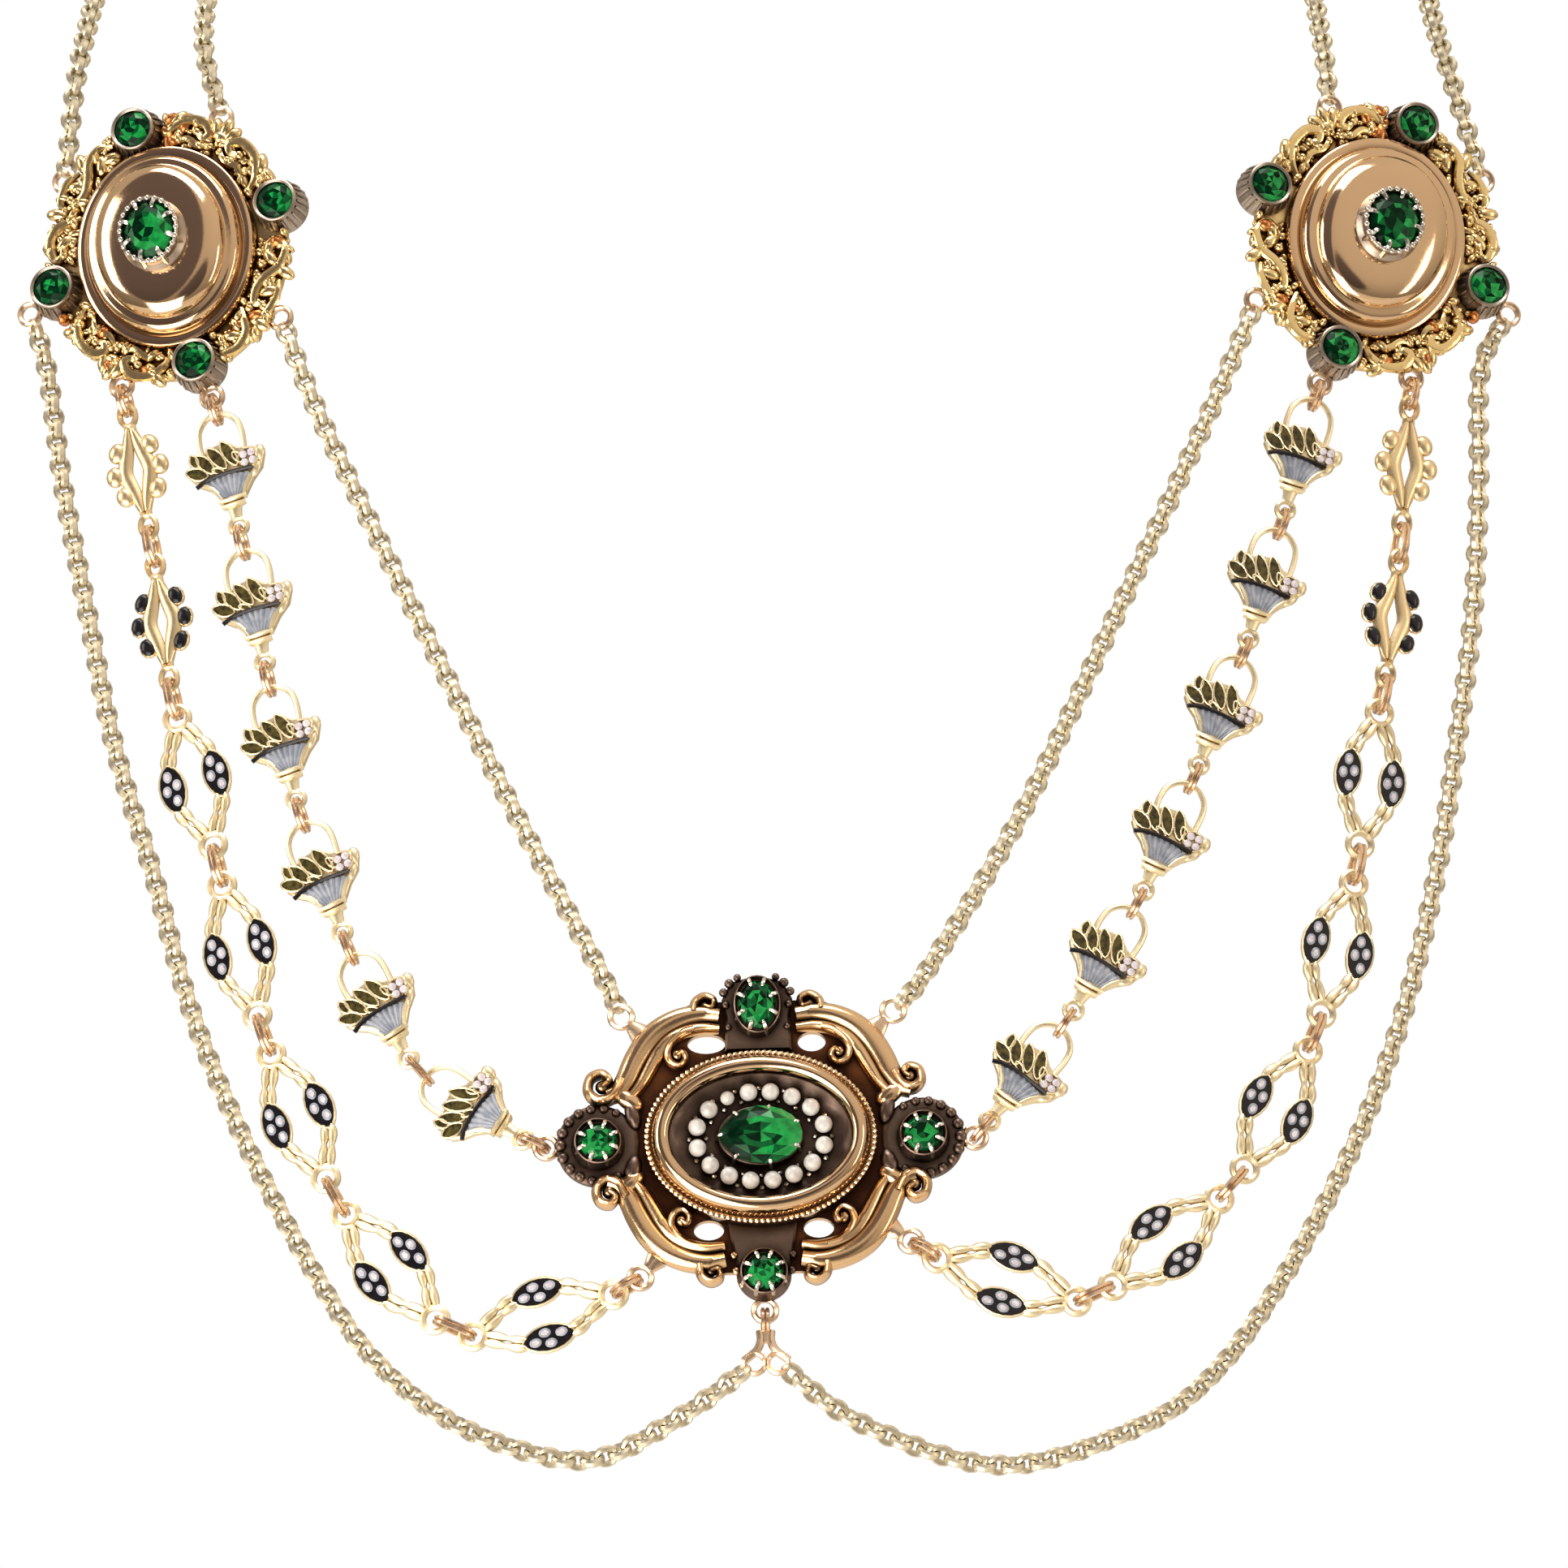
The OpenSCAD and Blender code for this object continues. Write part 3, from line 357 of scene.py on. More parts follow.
# The same metal in the recess of the centre plaque, hardly ever touched: painted nearly all dark brown, as
# film and the painted shade of the recess, with the orange metal showing in spots
recess_gold = metal("recessed_rose_gold", "#C07A48", "#38221A", 0.3, 2.5, 0.7, 1.15, 0.1)
# Yellow gold, cast with its ornament and only brushed, so it glitters in small spots
yellow_gold = metal("cast_yellow_gold", "#F4D99C", "#74461A", 0.2, 1.0, 0.35, 0.76, 0.35, 0.6)
# Spots of the same castings where its yellow skin has worn through to the coppery alloy
worn_gold = metal("worn_copper_gold", "#D88E54", "#7A3E1A", 0.28, 0.8, 0.1, 0.5, 0.1)
# The lobed links are of a richer gold than the rest
rich_gold = metal("tumbled_rich_gold", "#F6DFB0", "#A27840", 0.32, 0.7, 0.2, 0.7, 0.06, 0.25)
# Pale gold castings, tumbled bright
link_gold = metal("tumbled_pale_gold", "#F5E7C2", "#B0905E", 0.4, 0.6, 0.15, 0.6, 0.06, 0.25)
# The same gold as drawn wire, with a greyer film and painted shade between its links
chain_gold = metal("drawn_gold_wire", "#E3DAC0", "#86724E", 0.36, 0.5, 0.25, 0.7, 0.06, 0.25)
# Jump rings of wire that holds some copper, so they are a little pinker than the links
ring_gold = metal("reddish_gold_wire", "#F0D4B4", "#BE9068", 0.26, 0.4, 0.15, 0.5)
# Silver that air has blackened, as it is left around pastes to make them look deeper
dark_silver = metal("oxidised_silver", "#826E62", "#1E1410", 0.3, 1.3, 0.5, 1.05, 0.25, 0.5)
# Silver cups that handling keeps half clean: grey ribs, with their grooves painted dark as film and painted
# shade
cup_silver = metal("handled_silver", "#B6A99C", "#4C4038", 0.32, 0.6, 0.3, 0.8, 0.12, 0.3)
# The tips of the claws, which rubbing keeps bright
claw_silver = metal("burnished_silver", "#DAD6CC", "#6A625A", 0.22, 0.4, 0.2, 0.6, 0.08, 0.3)
print("metals ready")

# %% [markdown]
# ### Paste, pearl and enamel
#
# Paste is lead glass with a foil behind it. Light goes in, bounces off the foil and comes out through
# another facet, so at any moment some facets are bright and others nearly black. Tracing that needs
# many bounces in a stone four millimetres wide. A surer way is to paint that light on: the facets get
# three greens, lit, half lit and shaded, under one clear coat. Pearl is layered and soft, with a rosy
# sheen. Enamel is glass too, but fused flat.

# %% Glass and pearl finishes


def glassy(name, colour, deep, roughness, mottle, coat):
    """A glassy finish whose colour drifts between two over some millimetres."""
    material, tree, shader, spot = new_material(name)
    drift = add(tree, "TexNoise", {"Vector": spot, "Scale": 1 / (mottle * MM), "Detail": 2})
    pick = add(tree, "MapRange", {"Value": drift.outputs["Fac"], "From Min": 0.35, "From Max": 0.65})
    mixed = add(tree, "Mix", {"Factor": pick.outputs[0], "A": linear(deep), "B": linear(colour)},
                data_type="RGBA")
    tree.links.new(mixed.outputs["Result"], shader.inputs["Base Color"])
    shader.inputs["Roughness"].default_value = roughness
    shader.inputs["Specular IOR Level"].default_value = coat
    shader.inputs["Coat Weight"].default_value = coat
    shader.inputs["Coat Roughness"].default_value = 0.03
    return material


# Lead glass over green foil, with its light painted on: lit facets that catch the foil, half lit ones that
# half catch it, and shaded ones that miss it
paste_lit = glassy("foiled_paste_lit", "#14A84C", "#0B7E37", 0.25, 0.8, 0.25)
paste_half_lit = glassy("foiled_paste_half_lit", "#066430", "#034522", 0.25, 0.8, 0.12)
paste_shaded = glassy("foiled_paste_shaded", "#023018", "#01190B", 0.25, 0.8, 0.06)
# Seed pearl, whose skin is soft and a little rosy
pearl = glassy("seed_pearl", "#F0EEEA", "#C9C5BF", 0.25, 1.0, coat=0.5)
pearl.node_tree.nodes["Principled BSDF"].inputs["Subsurface Weight"].default_value = 0.15
pearl.node_tree.nodes["Principled BSDF"].inputs["Subsurface Radius"].default_value = (0.0004, 0.0003, 0.0002)
# Enamels, fired and left glossy
black_enamel = glassy("black_enamel", "#17141A", "#0A080C", 0.3, 0.6, 0.3)
lavender_enamel = glassy("lavender_enamel", "#B0B5BF", "#8C94A3", 0.4, 0.9, 0.25)
white_enamel = glassy("white_enamel", "#EDE8EA", "#CBC2CC", 0.35, 0.5, 0.3)
leaf_enamel = glassy("olive_enamel", "#5C5226", "#2A2410", 0.4, 0.5, 0.25)
print("glasses ready")

# %% [markdown]
# ## Camera, floor and light
#
# Polished metal has hardly any colour of its own: it shows what stands around it. So the light is set
# before any piece is judged. Big soft panels draw the long highlights, and the room between them stays
# brown and dim, which gives gold its depth. Two darker shapes in that room are what a polished dome
# shows between its highlights. The camera alone sees a white backdrop.

# %% Camera
CAMERA_AT = (2.3, -1033, -122.5)
lens = bpy.data.cameras.new("camera")
lens.lens, lens.sensor_width, lens.dof.use_dof = 209.6, 36, False
camera = bpy.data.objects.new("camera", lens)
camera.location = Vector(CAMERA_AT) * MM
camera.rotation_euler = (math.radians(90), 0, 0)
bpy.context.scene.collection.objects.link(camera)
bpy.context.scene.camera = camera
bpy.context.scene.view_settings.view_transform = "Standard"
print("camera looks level, from", CAMERA_AT)

# %% Floor, in metres
FLOOR_RISE, FLOOR_R = -0.62, 1.0
bm = bmesh.new()
bmesh.ops.create_circle(bm, cap_ends=True, segments=96, radius=FLOOR_R,
                        matrix=Matrix.Translation((0, 0, FLOOR_RISE)))
floor_mesh = bpy.data.meshes.new("floor")
bm.to_mesh(floor_mesh)
bm.free()
floor = bpy.data.objects.new("floor", floor_mesh)
bpy.context.scene.collection.objects.link(floor)
floor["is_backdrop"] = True
paper, tree, shader, spot = new_material("matt_white_paper")
fibre = add(tree, "TexNoise", {"Vector": spot, "Scale": 40, "Detail": 3})
shade = add(tree, "Mix", {"Factor": fibre.outputs["Fac"], "A": linear("#E9E7E3"), "B": linear("#F4F2EE")},
            data_type="RGBA")
tree.links.new(shade.outputs["Result"], shader.inputs["Base Color"])
shader.inputs["Roughness"].default_value = 0.8
floor_mesh.materials.append(paper)

# %% Room
world = bpy.data.worlds.new("studio")
bpy.context.scene.world = world
world.use_nodes = True
tree = world.node_tree
backdrop = tree.nodes["Background"]
backdrop.inputs["Color"].default_value = linear("#FFFFFF")
backdrop.inputs["Strength"].default_value = 1.0
around = add(tree, "TexCoord").outputs["Generated"]
way = add(tree, "SeparateXYZ", {0: around})
across = add(tree, "MapRange", {"Value": way.outputs["X"], "From Min": -0.9, "From Max": 0.9},
             interpolation_type="SMOOTHSTEP")
tint = add(tree, "Mix", {"Factor": across.outputs[0], "A": linear("#BDB2A6"), "B": linear("#D8CABA")},
           data_type="RGBA")
# A tall dark opening up on the left, which the crown of the left dome shows
DOORWAY = Vector((-0.58, -0.58, 0.57)).normalized()
near = add(tree, "VectorMath", {0: around, 1: DOORWAY}, operation="DOT_PRODUCT")
aside = add(tree, "VectorMath", {0: around, 1: UP.cross(DOORWAY).normalized()}, operation="DOT_PRODUCT")
width = add(tree, "Math", {0: aside.outputs["Value"], 1: 2.0}, operation="POWER")
tall = add(tree, "Math", {0: width.outputs[0], 1: -0.8, 2: near.outputs["Value"]}, operation="MULTIPLY_ADD")
dark = add(tree, "MapRange", {"Value": tall.outputs[0], "From Min": 0.74, "From Max": 0.81},
           interpolation_type="SMOOTHSTEP")
# A second dark shape straight in front, which the flanks of both domes show
IN_FRONT = Vector((0.03, -1, 0.08)).normalized()
ahead = add(tree, "VectorMath", {0: around, 1: IN_FRONT}, operation="DOT_PRODUCT")
figure = add(tree, "MapRange", {"Value": ahead.outputs["Value"], "From Min": 0.9, "From Max": 0.95},
             interpolation_type="SMOOTHSTEP")
dark = add(tree, "Math", {0: dark.outputs[0], 1: figure.outputs[0]}, operation="MAXIMUM")
tint = add(tree, "Mix", {"Factor": dark.outputs[0], "A": tint.outputs["Result"], "B": linear("#6A6062")},
           data_type="RGBA")
upward = add(tree, "MapRange", {"Value": way.outputs["Z"], "From Min": -0.7, "From Max": 0.9,
                                "To Min": 0.4, "To Max": 1.2}, interpolation_type="SMOOTHSTEP")
room = add(tree, "Background", {"Color": tint.outputs["Result"], "Strength": upward.outputs[0]})
seen = add(tree, "LightPath")
mixed = add(tree, "MixShader", {0: seen.outputs["Is Camera Ray"], 1: room.outputs[0],
                                2: backdrop.outputs[0]})
tree.links.new(mixed.outputs[0], tree.nodes["World Output"].inputs["Surface"])

# %% Soft panels
# The middle of the necklace, in metres
LIT = Vector((0, -0.09, -0.09))


def panel(name, at, glow, wide, tall, colour="#FFFFFF"):
    """A soft panel that faces the middle of the necklace; glow is how bright its surface looks."""
    light = bpy.data.lights.new(name, "AREA")
    light.shape, light.size, light.size_y = "RECTANGLE", wide, tall
    light.energy = glow * math.pi * wide * tall
    light.color = linear(colour)[:3]
    holder = bpy.data.objects.new(name, light)
    holder.location = at
    aim = LIT - Vector(at)
    holder.rotation_euler = aim.to_track_quat("-Z", "Y").to_euler()
    bpy.context.scene.collection.objects.link(holder)


panel("window", (-1.15, -0.35, 0.3), 4, 0.45, 0.9, "#FFFAF2")
panel("overhead", (-0.1, -0.2, 1.1), 6, 0.9, 0.5)
panel("low_left", (-0.24, -0.46, -0.36), 4, 0.42, 0.46, "#FFF8F0")
panel("right_strip", (1.1, -0.6, 0.0), 4, 0.2, 0.9, "#FFF2E2")
print("floor, room and four panels ready")

# %% [markdown]
# ## Stones
#
# A cut stone is a set of flat facets, and each of its corners lies on the skin of one convex shape. So
# its corners are laid out in rings, and a convex hull finds the facets between them. The facets that
# are seen through the table, the big flat on top, are painted on it as reflections: an inset and a poke
# divide it. Every facet gets one of three painted greens at random, lit, half lit or shaded, with more
# lit ones on the side where the light falls.

# %% A cut stone
# Slots of the three painted greens: lit, half lit and shaded facets
LIT_FACET, HALF_LIT_FACET, SHADED_FACET = 0, 1, 2


def gem(bm, at, half_x, half_y, seed, points=8, lit=(0.5, 0.2), turn=0, share=0.45, point=0.0):
    """Draws a cut stone with light painted on its facets; share is how much of it is painted lit, lit where,
    and point narrows its left end.
    """
    dice = random.Random(seed)
    small = min(half_x, half_y)
    part = bmesh.new()
    place = Matrix.Translation(at) @ Matrix.Rotation(math.radians(turn), 4, "Z")
    rings = [(0.56, 0.36, points, 0.5), (0.8, 0.25, points, 0.0), (1, 0.05, 2 * points, 0.25),
             (1, -0.05, 2 * points, 0.25), (0.6, -0.32, points, 0.0), (0.15, -0.52, 4, 0.0)]
    corners = []
    for reach, rise, count, start in rings:
        for spot in oval(half_x * reach, half_y * reach, count, start=start):
            spot.y *= 1 - point * max(0, -spot.x / half_x) ** 2
            spot.z = rise * small
            corners.append(part.verts.new(spot))
    bmesh.ops.convex_hull(part, input=corners)
    bmesh.ops.dissolve_limit(part, angle_limit=0.02, verts=part.verts, edges=part.edges)
    bmesh.ops.recalc_face_normals(part, faces=part.faces)
    table = max(part.faces, key=lambda face: face.calc_area() * (face.normal.z > 0.9))
    bmesh.ops.inset_individual(part, faces=[table], thickness=0.2 * small)
    bmesh.ops.poke(part, faces=[table])
    for face in part.faces:
        spot = face.calc_center_median()
        # A facet is painted lit, half lit or shaded at random, more often lit towards the side that lit gives
        painted_light = dice.random() + lit[0] * spot.x / half_x + lit[1] * spot.y / half_y
        face.material_index = LIT_FACET if painted_light > 1 - share else HALF_LIT_FACET if painted_light > 0.7 - share else SHADED_FACET
    part.transform(place)
    settle(bm, part)


def claws(bm, at, half_x, half_y, foot, top, count, r, out, reach, start, material):
    """Draws claws around a stone: each rises outside it, bends over its edge and ends in a soft tip."""
    for i in range(count):
        turn = math.tau * (i + start) / count
        ray = Vector((math.cos(turn) * half_x, math.sin(turn) * half_y, 0))
        away = ray.normalized()
        path = [Vector(at) + ray + away * out + UP * foot,
                Vector(at) + ray + away * (out * 0.6) + UP * (foot * 0.35 + top * 0.65),
                Vector(at) + ray + away * 0.1 + UP * top,
                Vector(at) + ray - away * reach * 0.6 + UP * (top + 0.16),
                Vector(at) + ray - away * reach + UP * (top + 0.08)]
        sweep(bm, curve(path, 3), lambda t: (r * (1.15 - 0.5 * t),) * 2, UP + away * 0.01, 6,
              material=material)
        bead(bm, path[-1], r * 0.72, fine=1, material=material)


PASTE = [paste_lit, paste_half_lit, paste_shaded]
print("a stone is drawn in", len(PASTE), "greens")

# %% [markdown]
# ## Side plaques: the pressed dome
#
# The dome was pressed from thin sheet over a steel die, so it is one smooth turned form: a rolled foot,
# two narrow steps, a round flank and a nearly flat crown. Its outline is an oval, and all its rows are
# the same oval set further in. So a profile of insets and heights is enough, and the steps come out
# even all the way round, as they do from a die.

# %% The domes, their collets and their stones
PLATE_T, SEAT_LIFT = 1.3, 0.125
DOME_X, DOME_Y = 9.6, 11.2
DOME_SEAT = PLATE_T + SEAT_LIFT
DOME_ROWS = [(0.1, 0), (0, 0.12), (0, 0.7), (0.12, 0.98), (0.4, 1.12), (0.95, 1.15), (1.15, 1.02),
             (1.22, 1.0), (1.3, 1.25), (1.42, 1.75), (1.65, 2.1), (2.0, 2.25),
             (2.45, 2.28), (2.6, 2.35), (2.72, 2.75), (2.9, 3.08),
             (3.2, 3.38), (3.6, 3.63), (4.1, 3.83), (4.8, 3.97), (5.6, 4.06), (6.4, 4.12)]
CROWN = DOME_SEAT + 4.1
COLLET_ROWS = [(0.0, 0), (0.1, 0.25), (0.42, 0.6), (0.5, 1.0), (0.32, 1.5), (0.28, 1.75), (0.42, 1.88),
               (0.62, 1.82), (0.9, 1.3)]
STONE_X, STONE_Y = 2.6, 3.05


def dome(side):
    """The dome with its claw collet, in the plaque's own frame."""
    bm = bmesh.new()
    rows = [(inset, DOME_SEAT + rise) for inset, rise in DOME_ROWS]
    turned(bm, DOME_X, DOME_Y, rows, sides=96)
    turned(bm, STONE_X + 0.95, STONE_Y + 0.95, [(inset, CROWN + rise) for inset, rise in COLLET_ROWS],
           sides=48, material=1)
    for spot in oval(STONE_X + 0.42, STONE_Y + 0.42, 24, (0, 0, CROWN + 1.72)):
        bead(bm, spot, 0.33, material=2)
    claws(bm, (0, 0, 0), STONE_X, STONE_Y, CROWN + 0.1, CROWN + 1.95, 8, 0.3, 0.55, 0.5,
          start=0.3 if side < 0 else 0.1, material=2)
    return bm


for name, side in SIDES.items():
    finish(f"dome_{name}", dome(side), PLAQUE[name], [rose_gold, cup_silver, claw_silver],
           [f"plaque_dome_{name}"])
    bm = bmesh.new()
    # The facets are painted lit and shaded, with more lit ones on the left stone than on the right
    gem(bm, (0, 0, CROWN + 1.5), STONE_X, STONE_Y, 11 if side < 0 else 14, points=10,
        lit=(0.35, -0.3) if side < 0 else (0.3, -0.1), share=0.42 if side < 0 else 0.2)
    finish(f"dome_stone_{name}", bm, PLAQUE[name], PASTE, [f"plaque_stone_{name}"], crease=0)

# %% [markdown]
# ## Side plaques: the cast border
#
# Around the dome runs a wreath of scrolls, leaves and grains, cast in one with its plate. Sculpting it
# would work, but a scroll is only a wire that thins towards its ends, so each is swept along a few
# points. The points are given as an angle and a share of the way out, from the dome's foot to the
# plate's edge. Two patterns alternate between the four stone cups, which is how such a wreath repeats.
# Grains fill the gaps. They are thrown by a die with a fixed seed, so they fall alike on every run, and
# a few of them have the copper colour of gold that has worn through.

# %% The wreath's patterns
CUP_X, CUP_Y, CUP_R, CUP_H = 12.6, 13.6, 2.7, 3.2
CUP_SPOTS = [(CUP_X, 0), (0, CUP_Y), (-CUP_X, 0), (0, -CUP_Y)]
# How far the plate, and the line that its loops stand on, reach past the dome
PLATE_OUT, LOOPS_OUT = 3.35, 3.55
# Each scroll: half width, then points as (angle from the cup before, share of the way out)
WREATH = [
    {"scrolls": [(0.5, [(14, 0.1), (18, 0.55), (25, 0.95), (34, 1.0), (39, 0.7), (36, 0.45), (32, 0.6)]),
                 (0.48, [(76, 0.1), (72, 0.6), (65, 0.98), (56, 1.0), (51, 0.7), (54, 0.45), (58, 0.62)]),
                 (0.36, [(20, 0.05), (28, 0.25), (36, 0.1), (42, 0.3)]),
                 (0.36, [(70, 0.05), (62, 0.28), (54, 0.1), (48, 0.3)])],
     "leaves": [(41, 0.98, -25), (45, 1.12, 0), (49, 0.98, 25), (45, 0.75, 90), (21, 0.98, 50),
                (69, 1.0, -50)]},
    {"scrolls": [(0.48, [(14, 0.75), (20, 1.0), (28, 0.85), (34, 0.45), (41, 0.25), (48, 0.4), (47, 0.7)]),
                 (0.5, [(54, 0.05), (58, 0.45), (62, 0.85), (69, 1.02), (76, 0.8), (74, 0.5)]),
                 (0.4, [(34, 0.95), (41, 1.1), (49, 1.02), (53, 0.75)])],
     "leaves": [(55, 1.0, 10), (24, 0.45, -40), (68, 0.5, 50), (30, 1.08, -20), (40, 0.7, 30),
                (18, 0.4, 70)]},
]
CRUMBS = 95
# How far a grain may reach below the plate's face, so that none comes out at the back
DEEPEST = 1.1


def on_rim(angle, out, rise):
    """A place on the wreath: out is 0 at the dome's foot and 1 at the plate's edge."""
    turn = math.radians(angle)
    reach = 0.3 + 2.9 * out
    return Vector(((DOME_X + reach) * math.cos(turn), (DOME_Y + reach) * math.sin(turn), rise))


def wreath(bm):
    """Draws four runs of scrolls and leaves between the cups, with grains of cast gold among them."""
    dice = random.Random(3)
    for quarter in range(4):
        motif = WREATH[quarter % 2]

        def place(angle, out, rise):
            return on_rim(90 * quarter + (angle if quarter < 2 else 90 - angle), out, rise)

        for half, points in motif["scrolls"]:
            path = curve([place(a, out, PLATE_T + 0.1 + 0.4 * math.sin(math.pi * i / (len(points) - 1)))
                          for i, (a, out) in enumerate(points)], 5)
            sweep(bm, path, lambda t: (half * (0.4 + 0.75 * math.sin(math.pi * (0.1 + 0.8 * t))), half * 0.8))
            bead(bm, path[-1] + UP * 0.1, half * 1.05)
        for angle, out, lean in motif["leaves"]:
            turn = 90 * quarter + angle if quarter < 2 else 90 * quarter + 90 - angle
            bead(bm, place(angle, out, PLATE_T + 0.1), 1, (1.25, 0.68, 0.65), turn + lean)
        for _ in range(CRUMBS):
            spot = place(dice.uniform(12, 78), dice.uniform(-0.02, 1.08), PLATE_T - 0.1)
            worn = dice.random() < 0.04
            r = dice.uniform(0.5, 0.75) if worn else dice.uniform(0.26, 0.56)
            wide, tall = dice.uniform(1, 2.1), min(dice.uniform(1.0, 2.2), DEEPEST / r)
            bead(bm, spot, r, (wide, 1, tall), dice.uniform(0, 180), 2, 3 if worn else 0)


# %% Ribbed cups, loops and the plate
RIBS = 20
# A soldered loop: its radii, half its height, how far it laps onto its piece, and its material's slot
RING_R, HOLE_R, LOOP_TALL, LAP, SOLDERED = 1.4, 0.8, 0.45, 0.5, 4
CUP_ROWS = [(0.1, 0), (0, 0.1), (0.05, 1.2), (0.3, 1.9), (0.42, 2.5), (0.42, 2.75), (0.36, 2.95),
            (0.42, 3.15), (0.58, 3.22), (0.74, 3.12), (0.8, 2.7)]
# Angles of a plaque's loops around the left plaque, and whether each hangs under a stone cup
LOOPS = {"inner_back": (54, False), "outer_back": (127, False), "outer_front": (183, True),
         "lozenge": (235, False), "basket": (271, True), "inner_front": (309, False)}


def cup(bm, at):
    """A stone's cup: a tapered silver tube with ribs and a thin bright rim."""
    turned(bm, CUP_R, CUP_R, CUP_ROWS, at, sides=40, material=1)
    for i in range(RIBS):
        turn = 360 * i / RIBS
        foot = Vector(at) + polar(CUP_R - 0.02, turn, 0.5)
        waist = Vector(at) + polar(CUP_R - 0.14, turn, 1.5)
        neck = Vector(at) + polar(CUP_R - 0.42, turn, 2.6)
        sweep(bm, curve([foot, waist, neck], 3), lambda t: (0.24 - 0.12 * t, 0.16), UP + polar(0.01, turn), 6,
              material=1)
    sweep(bm, oval(CUP_R - 0.52, CUP_R - 0.52, 40, Vector(at) + UP * 3.14), (0.13, 0.13), sides=6,
          closed=True, material=1)


def loop(bm, at, inward):
    """A flat soldered loop with a lug that joins it to the piece it belongs to."""
    middle, half = (RING_R + HOLE_R) / 2, (RING_R - HOLE_R) / 2
    sweep(bm, oval(middle, middle, 20, at), (half, LOOP_TALL), closed=True, material=SOLDERED)
    lug = Vector(inward).normalized()
    sweep(bm, [at + lug * (RING_R - 0.3), at + lug * (RING_R + 0.35), at + lug * (RING_R + 1.1)],
          lambda t: (0.55 + 0.6 * t, LOOP_TALL * 0.95), material=SOLDERED)


def loop_spot(side, which):
    """The centre of one of a plaque's loops, in the plaque's own frame."""
    angle, under_cup = LOOPS[which]
    angle = angle if side < 0 else 180 - angle
    turn = math.radians(angle)
    if under_cup:
        reach = (CUP_X if abs(math.cos(turn)) > 0.7 else CUP_Y) + CUP_R
    else:
        plate_x, plate_y = DOME_X + LOOPS_OUT, DOME_Y + LOOPS_OUT
        reach = plate_x * plate_y / math.hypot(plate_y * math.cos(turn), plate_x * math.sin(turn))
    return polar(reach + RING_R - LAP, angle, PLATE_T / 2)


def border(side):
    """The plate with its wreath, its four cups and its six loops."""
    bm = bmesh.new()
    turned(bm, DOME_X + PLATE_OUT, DOME_Y + PLATE_OUT,
           [(0.5, 0), (0.3, 0.1), (0.2, 0.5), (0.3, 0.85), (0.6, 1.0), (1.2, 1.05)], sides=96)
    stamp(bm, wreath_mesh, Matrix.Diagonal((-side, 1, 1, 1)))
    for x, y in CUP_SPOTS:
        cup(bm, (x, y, 0))
    for which in LOOPS:
        spot = loop_spot(side, which)
        loop(bm, spot, -spot)
    return bm


wreath_mesh = pattern("wreath", wreath)
for name, side in SIDES.items():
    finish(f"border_{name}", border(side), PLAQUE[name],
           [yellow_gold, cup_silver, claw_silver, worn_gold, ring_gold],
           [f"plaque_frame_{name}"])
    bm = bmesh.new()
    for i, (x, y) in enumerate(CUP_SPOTS):
        gem(bm, (x, y, CUP_H - 0.25), 1.9, 1.9, 20 + i + 10 * side, turn=17 * i, lit=(0.2, -0.3),
            share=0.16 if side < 0 else 0.28)
    finish(f"cup_stones_{name}", bm, PLAQUE[name], PASTE, [f"plaque_side_stones_{name}"],
           crease=0)

# %% [markdown]
# ## Centre plaque: the pierced scroll frame
#
# The frame was pressed from sheet, pierced with a saw, and its scrolls were chased up with a punch. It is
# the same corner four times, mirrored. So the corner is described once, as ridges that start at the top
# stone and run down to a curl beside the side stone, and a sign for each axis mirrors its points. The
# plate under them is an outline with four holes, which a scan fill turns into faces before it is
# thickened. Only its upper faces, under the scrolls, are painted dark: a film, and painted shade.

# %% The pierced plate
FRAME_T = 1.2
BEZEL_X, BEZEL_Y = 11.5, 8.9
LOBE_X, STONE_UP = BEZEL_X + 4.5, BEZEL_Y + 4.7
RISE = 0.6
SCROLL_X, SCROLL_Y = BEZEL_X - 6.8, BEZEL_Y - 3.1
PIERCINGS = [(-5.1, 10.15, 1.9), (5.3, 10.15, 1.4), (-5.3, -8.9, 1.5), (5.5, -8.9, 1.5)]


def in_corner(sx, sy, u, v, rise=0.0):
    """A place in one of the four mirrored corners of the frame."""
    return Vector((sx * (SCROLL_X + u), RISE + sy * (SCROLL_Y + v), rise))


def pierced_plate(bm, reach, thick, material):
    """A plate with round corners and four pierced ovals, painted darker on top than below, with film and
    painted shade.
    """
    part = bmesh.new()
    corners = []
    for sx, sy in ((1, 1), (-1, 1), (-1, -1), (1, -1)):
        for step in range(7):
            turn = math.radians(step * 15 if sx * sy > 0 else 90 - step * 15)
            corners.append(in_corner(sx, sy, reach * math.cos(turn), reach * math.sin(turn)))
    for outline in [corners] + [oval(half, 1.0, 20, (x, y, 0)) for x, y, half in PIERCINGS]:
        verts = [part.verts.new(p) for p in outline]
        for a, b in zip(verts, verts[1:] + verts[:1]):
            part.edges.new((a, b))
    bmesh.ops.triangle_fill(part, use_beauty=True, edges=part.edges, normal=(0, 0, 1))
    bmesh.ops.solidify(part, geom=part.faces, thickness=thick)
    low = min(v.co.z for v in part.verts)
    bmesh.ops.translate(part, verts=part.verts, vec=(0, 0, -low))
    bmesh.ops.recalc_face_normals(part, faces=part.faces)
    for face in part.faces:
        face.material_index = material if face.normal.z > 0.5 else 0
    settle(bm, part)


